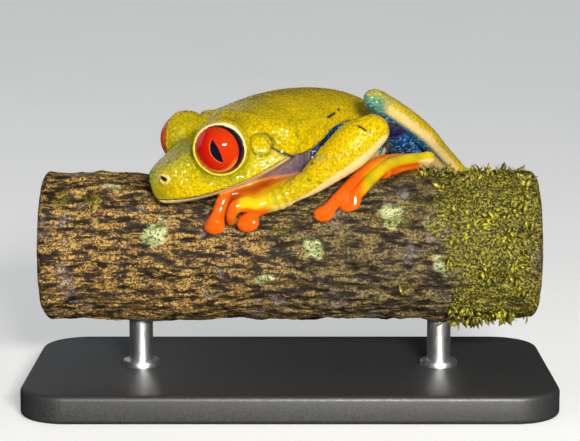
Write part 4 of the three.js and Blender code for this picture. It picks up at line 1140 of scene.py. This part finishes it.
def mark_digits(marks, skin):
    """Orange hands and feet; the near hand's arched finger and the outer toes stay yellow on top, and painted
    shade darkens the near palm.
    """
    x, y, _ = skin.p
    share, wander = skin.share, skin.wander
    ankle = skin.of("foot_digit") * step(15.8, 17, x) * (y < 8)
    wrist = (share["hand_digit_2_left"] + share["hand_digit_3_left"]) * step(-3, -1.8, x)
    arch = share["hand_digit_2_left"] * step(-0.4, 0.2, skin.facing("hand_digit_2_left", -0.3, 0.3, 0.8))
    arch = arch * step(-6.7, -5.7, x)
    outer_toe = 0
    for side, start, full, outward, up in (("left", 8.2, 9.8, 0.3, 0.9), ("right", -0.5, 2, 0.5, 0.8)):
        name = f"foot_digit_4_{side}"
        top = step(-0.2, 0.3, skin.facing(name, 0, outward, up))
        outer_toe = outer_toe + share[name] * step(start, full, x) * top
    marks["orange"] = skin.digits - ankle - wrist - arch - outer_toe
    marks["yellow"] += wrist * 0.35 + arch + outer_toe * 0.2
    marks["cream"] += ankle * step(0.35, -0.05, skin.facing("tarsus_left", 0, 0.2, 0.95))
    near_wrist = share["forearm_left"] * step(6, -2, x)
    marks["green"] += 0.3 * wrist + 0.2 * arch + 0.25 * near_wrist
    marks["green"] += outer_toe * np.clip(0.3 + 0.5 * wander, 0, 1)
    # Painted shade: the near palm and the roots of its first two fingers are darkened where the head shadows
    # them.
    palm = share["inner_wrist_left"] + share["hand_digit_0_left"] * step(-8.4, -7, x)
    marks["shade"] = (palm + share["hand_digit_1_left"] * step(-7.9, -7, x)) * (0.8 + 0.3 * wander)


def mark_lids(marks, skin):
    """The lids' pale edge, broadest above and behind the eye where its ivory is partly a painted highlight,
    over a darker hollow of painted shade below it.
    """
    hx, _, hz = skin.in_head
    rear = (hz - hx - EYE_AT[2]) / (sqrt(2) * skin.lid_radius)
    broad = 0.12 + 0.2 * np.clip(rear, 0, 1) ** 3
    beyond = skin.from_eye_axis - skin.lid_radius
    from_lid = np.hypot(beyond, skin.eye_out - skin.lid_out)
    lid = step(0.36, 0.28, from_lid - 0.1 * rear) * step(0.04, -0.04, beyond - broad)
    # The lids are cream, partly their own colour and partly a painted highlight: the cream and the ivory grow
    # strongest above and behind the eye.
    marks["cream"] = np.maximum(marks["cream"], lid * (0.2 + 0.8 * step(-0.4, 0.3, rear)))
    marks["ivory"] = np.maximum(lid * step(0.4, 0.9, rear) * 0.7, skin.below_lips * 0.5)
    # Painted shade: greener, darker skin in the hollow below the lids.
    hollow = np.hypot(skin.from_eye_axis - 3.9, (skin.eye_out - 0.7) * 0.6)
    marks["green"] += skin.share["head"] * near(hollow, 0, 0.6) * step(0.5, -1.5, hz) * 0.65
    # Digits, lips and lids have no granules.
    marks["grain"] = 1 - skin.digits - skin.below_lips - lid


def mark_snout(marks, skin):
    """The pale stripe along the snout's edge, a painted sheen which broadens up to the eye, with greener skin
    around it, darker on the crown as painted shade.
    """
    hx, hy, hz = skin.in_head
    head, wander = skin.share["head"], skin.wander
    under_crown = hz - crown(hx)
    brow = step(5, 2, hx)
    beside, above = hy - (3.6 - 0.42 * hx) + 1.2 * brow, (1 - 0.4 * brow) * (under_crown + 0.5)
    stripe = np.hypot(beside, above) / (1 + 0.7 * brow)
    # Painted sheen: the pale stripe stands for light mirrored along the snout's top edge.
    marks["pale"] = head * near(stripe, 0, 0.9) * step(0.9, 2.2, hx) * (0.75 + 0.3 * wander)
    marks["green"] += head * step(6.6, 7.7, hx + 0.2 * wander) * 0.4
    # The crown between the eyes is greener and darker: partly the skin's own green, partly painted shade on
    # the top of the head.
    marks["green"] += head * step(-1.6, -0.5, under_crown) * step(4.8, 3.4, hy) * (0.3 + 0.2 * wander)
    hole = nostril((hx, hy, hz))
    marks["cream"] = np.maximum(marks["cream"], 0.8 * near(hole, 0.2, 0.16) * head)
    # Painted shade: a dark line along the lips' groove and inside the nostril's hole.
    lips = head * near(hz - mouth(hx) + 0.02, 0, 0.11) * step(-8.3, -7.7, hx)
    marks["crease"] = np.maximum(lips, step(0.08, -0.04, hole))


def mark_shoulder(marks, skin):
    """Painted shadow as a dark line under the mantle's fold over the near shoulder, and a dark green ring of
    painted shade in the groove round each eardrum.
    """
    tx, ty, _ = skin.in_trunk
    edge, near_side = skin.over_mantle_edge, ty > 5
    body = skin.share["head"] + skin.share["trunk"]
    # Painted shadow: the skin under the mantle's fold and tucked beneath its edge is painted dark.
    fold = near(edge + 0.45, 0, 0.2) * step(3, 3.8, tx) * step(8.3, 7.6, tx) * near_side * body
    tucked = skin.below_mantle * step(3.2, 3.8, tx) * step(-0.9, -0.7, edge) * near_side
    out, around = eardrum_place(skin.in_head)
    ring, close = around - EARDRUM["radius"] - 0.1, step(2, 1, np.abs(out))
    # Painted shade: a dark green ring in the groove round each eardrum.
    marks["green"] += near(ring, 0, 0.11) * close
    marks["crease"] = np.maximum.reduce([marks["crease"], fold, tucked, 0.45 * near(ring, 0, 0.09) * close])


def mark_lines(marks, skin):
    """The broken lines of MARKS."""
    broken = step(-0.35, 0.1, noise(skin.p, 0.45, 23))
    for kind, radius, path in MARKS:
        line = chain(skin.p, [(*at, radius) for at in path])
        marks[kind] = np.maximum(marks[kind], step(0.13, -0.02, line + 0.05 * skin.wander) * broken)


def skin_markings(points):
    """The skin's markings at its points, each from 0 to 1."""
    skin = SkinPlaces(points)
    marks = {name: np.zeros(len(points)) for name in ("teal", "green")}
    body_parts = (mark_trunk, mark_limbs, mark_knees, mark_digits, mark_lids, mark_snout, mark_shoulder)
    for mark in (*body_parts, mark_lines):
        mark(marks, skin)
    # The cream of the limbs is nearly smooth.
    marks["grain"] -= 0.7 * skin.of("shank", "tarsus", "forearm") * marks["cream"]
    return {name: np.clip(value, 0, 1) for name, value in marks.items()}


def wrist_wrinkles(p):
    """Fine folds across the near wrist, from -1 to 1."""
    wrist, forearm = (-1.2, -8.6, 7.4), unit((-0.88, 0, -0.47))
    q = away(p, wrist)
    along = dot(q, forearm) + 0.25 * noise(p, 1.3, 21)
    return np.sin(2 * pi / WRINKLE_SPACING * along + 0.5 * q[1]) * step(2.6, 0.8, length(*q))


def without_specks(points, quads):
    """The mesh without its loose cubes of a single cell, whose points all join exactly three faces."""
    faces_at = np.bincount(quads.ravel(), minlength=len(points))
    cornered = (faces_at[quads] == 3).all(1)
    cornered_at = np.bincount(quads[cornered].ravel(), minlength=len(points))
    quads = quads[~(cornered & (cornered_at[quads] == 3).all(1))]
    used = np.unique(quads)
    return points[used], np.searchsorted(used, quads)


def frog_skin():
    """The whole skin as one mesh: its smooth form, then cobbles, granules and wrinkles raised on it."""
    grid = openvdb.FloatGrid(FAR)
    grid.copyFromArray(skin_grid().values)
    points, quads = grid.convertToQuads()
    points = points.astype(float) * SKIN_CELL + SKIN_LOW
    points, quads = without_specks(points, quads.astype(np.int64))
    p = tuple(points.T)
    marks = skin_markings(points)
    stone, granule = pebbles(p, COBBLE, 11), pebbles(p, GRANULE, 12)
    cobbled = marks["blue"] * (1 - marks["violet"]) * step(-0.15, 0.25, noise(p, 3.5, 13) + 0.1)
    granular = marks["grain"] * (1 - cobbled)
    dome = 1 - np.clip(granule / 0.62, 0, 1) ** 2
    height = COBBLE_HEIGHT * step(0.7, 0.1, stone) * cobbled + GRANULE_HEIGHT * dome * granular
    height += WRINKLE_DEPTH * wrist_wrinkles(p)
    points = points + point_normals(points, quads) * height[:, None]
    skin = mesh_object("frog_skin", points, quads)
    # The painted highlight on the wart tops is strongest towards the thighs.
    bright = step(3, 9, points[:, 0]) * 0.8 + 0.2
    give(skin, cobble=step(0.5, 0.2, stone) * cobbled * bright, valley=(1 - dome) * granular, **marks)
    skin.data.materials.append(skin_paint())
    return skin


def eyeball(side, material):
    """A whole eye, set in the head behind its lids. Its poles lie on the eye's axis."""
    sign = 1 if side == "left" else -1
    middle = placed((EYE_AT[0], sign * EYE_AT[1], EYE_AT[2]), HEAD_AT, HEAD_AXES)
    axis = unit(np.array([EYE_AXIS[0], sign * EYE_AXIS[1], EYE_AXIS[2]]) @ HEAD_AXES)
    ahead = unit(HEAD_AXES[0] - axis * (HEAD_AXES[0] @ axis))
    up = np.cross(axis, ahead)
    up = up * np.sign(up @ HEAD_AXES[2])
    turned = FAR_EYE_TURN if side == "right" else 0
    rings, sides = 72, 96
    points, places = [], []
    for i in range(rings + 1):
        polar = pi * i / rings
        for k in range(sides if 0 < i < rings else 1):
            turn = 2 * pi * k / sides
            u, v, w = EYE_RADIUS * np.array([sin(polar) * cos(turn), sin(polar) * sin(turn), cos(polar)])
            points.append(middle + u * ahead + v * up + w * axis)
            places.append((u - turned, v, w))
    ring_start = [0] + [1 + sides * i for i in range(rings)]
    faces = []
    for k in range(sides):
        after = (k + 1) % sides
        faces.append((0, ring_start[1] + k, ring_start[1] + after))
        for a, b in zip(ring_start[1:-2], ring_start[2:-1]):
            faces.append((a + k, b + k, b + after, a + after))
        faces.append((ring_start[-2] + k, ring_start[-1], ring_start[-2] + after))
    if np.cross(ahead, up) @ axis < 0:
        faces = [face[::-1] for face in faces]
    piece = mesh_object(f"eyeball_{side}", points, faces)
    give(piece, eye_place=places)
    piece.data.materials.append(material)
    return piece


# ---------- branch and stand ----------


def moss_cover(p):
    """How thickly moss covers a place on the bark, from 0 to 1: most at the top of the right end."""
    return step(-0.1, 0.35, noise(p, 3.5, 43, 3) + 0.8 * step(13, 24, p[0]) - 0.55 + 0.35 * step(-4, 5, p[2]))


def unit_rows(rows):
    return rows / np.linalg.norm(rows, axis=1, keepdims=True)


def moss_tufts():
    """Tufts of small pointed leaves that stand out of the moss, each a flat double pyramid."""
    random = np.random.default_rng(7)
    x = random.uniform(8, BRANCH_LENGTH / 2 - 0.9, LEAF_COUNT)
    angle = random.uniform(0, 2 * pi, LEAF_COUNT)
    p = (x, BRANCH_RADIUS * np.cos(angle), BRANCH_RADIUS * np.sin(angle))
    cover = moss_cover(p) * step(-0.1, 0.3, noise(p, 1.6, 44))
    grown = cover > random.uniform(0.2, 1, LEAF_COUNT)
    angle, x = angle[grown], x[grown]
    out = np.stack([0 * x, np.cos(angle), np.sin(angle)], -1)
    root = out * (bark_radius(x, angle) - 0.45)[:, None] + x[:, None] * (1, 0, 0)
    lean = unit_rows(out + 0.7 * random.normal(size=out.shape) + (0, 0, -0.15))
    side = unit_rows(np.cross(lean, random.normal(size=out.shape)))
    long = random.uniform(*LEAF_LENGTH, len(x))[:, None]
    wide, thick = LEAF_WIDTH_SHARE * long * side, LEAF_THICKNESS * np.cross(lean, side)
    middle = root + 0.55 * long * lean
    corners = [root, middle + wide, root + long * lean, middle - wide, middle + thick, middle - thick]
    points = np.stack(corners, 1).reshape(-1, 3)
    leaf = [(0, 1, 4), (1, 2, 4), (2, 3, 4), (3, 0, 4), (1, 0, 5), (2, 1, 5), (3, 2, 5), (0, 3, 5)]
    faces = [tuple(6 * n + k for k in corner) for n in range(len(x)) for corner in leaf]
    tufts = mesh_object("moss_tufts", points, faces)
    tufts.data.materials.append(moss_paint())
    return tufts


def bark_height(x, angle):
    """The bark's relief, from -1 in its cracks to 1 on its ridges, and its pits, from 0 to 1."""
    around = (np.cos(angle) * BRANCH_RADIUS, np.sin(angle) * BRANCH_RADIUS)
    warp = 0.8 * noise((x, *around), 4, 31, 2)
    ridges = 1 - np.abs(noise((x * 0.22 + warp, *around), 1.5, 32, 3)) * 2.2
    knobs = noise((x * 0.6, *around), 1.2, 33, 3)
    pits = pebbles((x.ravel() * 0.5, around[0].ravel(), around[1].ravel()), 3.4, 34).reshape(x.shape)
    return np.clip(0.62 * ridges + 0.55 * knobs, -1, 1), step(0.42, 0.15, pits)


def bark_piece():
    """Ridged bark all round the cut length of branch, and the rings of points at its two ends."""
    along, sides = int(BRANCH_LENGTH / BARK_CELL), int(2 * pi * BRANCH_RADIUS / BARK_CELL)
    half = BRANCH_LENGTH / 2
    xs = np.linspace(-half, half, along + 1)
    x, angle = np.meshgrid(xs, -2 * pi * np.arange(sides) / sides, indexing="ij")
    height, pits = bark_height(x, angle)
    rough = BARK_RELIEF * (height - 0.75) - PIT_DEPTH * pits
    edge = np.clip((np.abs(x) - half + BRANCH_CHAMFER) / BRANCH_CHAMFER, 0, 1)
    r = bark_radius(x, angle) + rough * (1 - 0.5 * edge) - BRANCH_CHAMFER * edge**2
    rings = np.stack([x, r * np.cos(angle), r * np.sin(angle)], -1)
    index = np.arange((along + 1) * sides).reshape(along + 1, sides)
    after = np.roll(index, -1, 1)
    quads = np.stack([index[:-1], index[1:], after[1:], after[:-1]], -1).reshape(-1, 4)
    bark = mesh_object("branch_bark", rings.reshape(-1, 3), quads)
    p = tuple(rings.reshape(-1, 3).T)
    lichen = step(0.45, 0.6, noise(p, 4.5, 41, 3)) * 0.8
    for x, y, z, radius in LICHEN:
        lichen = np.maximum(lichen, step(0.3, -0.3, ball(p, (x, y, z), radius) + 0.9 * noise(p, 0.9, 42, 2)))
    give(bark, height=(height * 0.5 + 0.5).ravel(), lichen=lichen, moss=moss_cover(p))
    bark.data.materials.append(bark_paint())
    return bark, rings[0], rings[-1]


def cut_piece(name, rim, turn, material):
    """A cut face: rings of points from its middle out to the bark's rim. turn is 1 where it looks to -X."""
    layers, sides = 24, len(rim)
    points, faces = [(rim[0][0], 0, 0)], []
    for layer in range(1, layers + 1):
        ring = rim * (1, layer / layers, layer / layers)
        if layer < layers:
            ring[:, 0] += turn * 0.05 * noise(tuple(ring.T), 0.8, 45, 2)
        points.extend(ring.tolist())
    for layer in range(layers):
        outer = 1 + layer * sides
        inner = outer - sides
        for k in range(sides):
            after = (k + 1) % sides
            face = (inner + k, outer + k, outer + after, inner + after)
            faces.append(((0, outer + k, outer + after) if layer == 0 else face)[::turn])
    cut = mesh_object(name, points, faces)
    give(cut, ring_place=points)
    cut.data.materials.append(material)
    return cut


def base_piece():
    """The stand's flat base: a slab with round corners and rolled edges."""
    steps, rolls = 12, 6
    corner, bevel, high = BASE["corner"], BASE["bevel"], BASE["height"]
    across, deep = BASE["length"] / 2 - corner, BASE["width"] / 2 - corner
    outline = []
    for quarter, (sx, sy) in enumerate(((1, 1), (-1, 1), (-1, -1), (1, -1))):
        for i in range(steps + 1):
            a = pi / 2 * (quarter + i / steps)
            outline.append((sx * across, sy * deep, cos(a), sin(a)))
    roll = [pi / 2 * i / rolls for i in range(rolls + 1)]
    profile = [(bevel * (1 - sin(a)), bevel * (1 - cos(a))) for a in roll]
    profile += [(bevel * (1 - cos(a)), high - bevel * (1 - sin(a))) for a in roll]
    points = [
        (x + (corner - inset) * cx, y + (corner - inset) * cy, z - BRANCH_HEIGHT)
        for inset, z in profile
        for x, y, cx, cy in outline
    ]
    base = mesh_object("stand_base_slab", points, capped_tube(len(profile), len(outline)))
    base.data.materials.append(base_paint())
    return base


def rod_piece(name, cad_node, material):
    """A round rod with a small collar where it stands in the base."""
    low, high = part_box(cad_node)
    x, y = (low.x + high.x) / 2 / MM, (low.y + high.y) / 2 / MM
    foot = BASE["height"] - BRANCH_HEIGHT
    # How much wider than the rod it is, and at what height over the base, from the collar's foot to its top.
    collar = [(0, -0.02), (0.9, -0.01), (0.9, 0.5), (0.75, 0.7), (0.05, 0.75), (0, 0.8)]
    profile = [
        (ROD_RADIUS, low.z / MM - BRANCH_HEIGHT),
        *((ROD_RADIUS + wider, foot + over) for wider, over in collar),
        (ROD_RADIUS, high.z / MM - BRANCH_HEIGHT),
    ]
    sides = 64
    turns = [2 * pi * k / sides for k in range(sides)]
    points = [(x + r * cos(turn), y + r * sin(turn), z) for r, z in profile for turn in turns]
    rod = mesh_object(name, points, capped_tube(len(profile), sides))
    rod.data.materials.append(material)
    return rod


def auto_smooth(piece, degrees=40):
    """Keeps edges sharper than this angle crisp."""
    piece.data.set_sharp_from_angle(angle=radians(degrees))


# ---------- floor, light and camera ----------

TARGET = Vector((0, 0, BRANCH_HEIGHT + 3.14)) * MM
CAMERA_AT = Vector((0, -241.69, BRANCH_HEIGHT + 41.42)) * MM
FROG_AT = (-0.004, -0.004, 0.033)
KEY = {"turn": 12.5, "rise": 15.5, "far": 0.33}  # degrees to the right of the camera and up, and metres
KEY_SIZE = (0.08, 0.03)
ROOM_LIGHT, MIRRORED_ROOM, SEEN_ROOM = 0.2, 0.04, 0.72
FLOOR_HALF = 2.5


def look_at(thing, at, target):
    thing.location = at
    thing.rotation_euler = (target - at).to_track_quat("-Z", "Y").to_euler()


def area_light(name, at, target, size, power, colour):
    data = bpy.data.lights.new(name, "AREA")
    data.shape = "RECTANGLE"
    data.size, data.size_y = size
    data.energy = power
    data.color = colour
    light = bpy.data.objects.new(name, data)
    bpy.context.scene.collection.objects.link(light)
    look_at(light, Vector(at), Vector(target))
    return light


def studio_floor():
    half = FLOOR_HALF / MM
    corners = [(-half, -half), (half, -half), (half, half), (-half, half)]
    corners = [(x, y, -BRANCH_HEIGHT) for x, y in corners]
    floor = mesh_object("studio_floor", corners, [(0, 1, 2, 3)], smooth=False)
    floor.data.materials.append(floor_paint())
    floor.visible_glossy = False


def studio_lights():
    """A key panel with a glint of its own for the wet skin, a sheen from behind, and a broad soft ceiling."""
    turn, rise, far = radians(KEY["turn"]), radians(KEY["rise"]), KEY["far"]
    aside, front, over = far * sin(turn) * cos(rise), far * cos(turn) * cos(rise), far * sin(rise)
    key_at = (FROG_AT[0] + aside, FROG_AT[1] - front, FROG_AT[2] + over)
    area_light("key_panel", key_at, FROG_AT, KEY_SIZE, 1.5, (1, 0.97, 0.92))
    glint = area_light("glint_panel", key_at, FROG_AT, KEY_SIZE, 2.4, (1, 0.99, 0.95))
    glint.visible_diffuse = False
    sheen = area_light("sheen_panel", (-0.2, 0.42, 0.15), FROG_AT, (0.3, 0.16), 0.1, (0.9, 0.95, 1))
    sheen.visible_diffuse = False
    ceiling = area_light("ceiling", (0, 0.3, 2.2), (0, 0.3, 0), (3.5, 3.5), 11, (0.97, 0.98, 1))
    ceiling.visible_glossy = False


def studio_room():
    """The room is pale to look at, lights the model softly, and is hardly mirrored in wet skin."""
    world = bpy.data.worlds.new("studio_world")
    bpy.context.scene.world = world
    world.use_nodes = True
    nodes, links = world.node_tree.nodes, world.node_tree.links
    nodes["Background"].inputs["Color"].default_value = (0.9, 0.95, 1, 1)
    ray = nodes.new("ShaderNodeLightPath")
    mirrored, seen = nodes.new("ShaderNodeMix"), nodes.new("ShaderNodeMix")
    mirrored.inputs["A"].default_value = ROOM_LIGHT
    mirrored.inputs["B"].default_value = MIRRORED_ROOM
    seen.inputs["B"].default_value = SEEN_ROOM
    links.new(ray.outputs["Is Glossy Ray"], mirrored.inputs["Factor"])
    links.new(ray.outputs["Is Camera Ray"], seen.inputs["Factor"])
    links.new(mirrored.outputs["Result"], seen.inputs["A"])
    links.new(seen.outputs["Result"], nodes["Background"].inputs["Strength"])


def photo_camera():
    data = bpy.data.cameras.new("photo_camera")
    data.lens = 120
    data.sensor_width = 36
    data.clip_start = 0.01
    camera = bpy.data.objects.new("photo_camera", data)
    bpy.context.scene.collection.objects.link(camera)
    look_at(camera, CAMERA_AT, TARGET)
    bpy.context.scene.camera = camera


# ---------- the scene ----------

FLESH = ["head", "lower_jaw", "trunk"] + [
    f"{part}_{side}"
    for part in ("eardrum", "upper_arm", "forearm", "hand", "thigh", "shank", "tarsus", "foot")
    for side in ("left", "right")
]


def dress(piece, slot, *nodes):
    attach(piece, "root")
    if nodes:
        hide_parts(*nodes)


dress(frog_skin(), "skin", *FLESH)
for side in ("left", "right"):
    dress(eyeball(side, eye_paint(side)), "eye", f"eye_{side}")
bark, left_rim, right_rim = bark_piece()
dress(bark, "bark", "perch")
wood = cut_wood_paint()
dress(cut_piece("branch_cut_left", left_rim, 1, wood), "bark")
dress(cut_piece("branch_cut_right", right_rim, -1, wood), "bark")
dress(moss_tufts(), "bark")
base = base_piece()
auto_smooth(base)
dress(base, "stand_base", "stand_base")
steel = steel_paint()
for n in (1, 2):
    rod = rod_piece(f"stand_rod_piece_{n}", f"stand_rod_{n}", steel)
    auto_smooth(rod)
    dress(rod, "stand_rod", f"stand_rod_{n}")
studio_floor()
studio_lights()
studio_room()
photo_camera()
bpy.context.scene.view_settings.view_transform = "Standard"
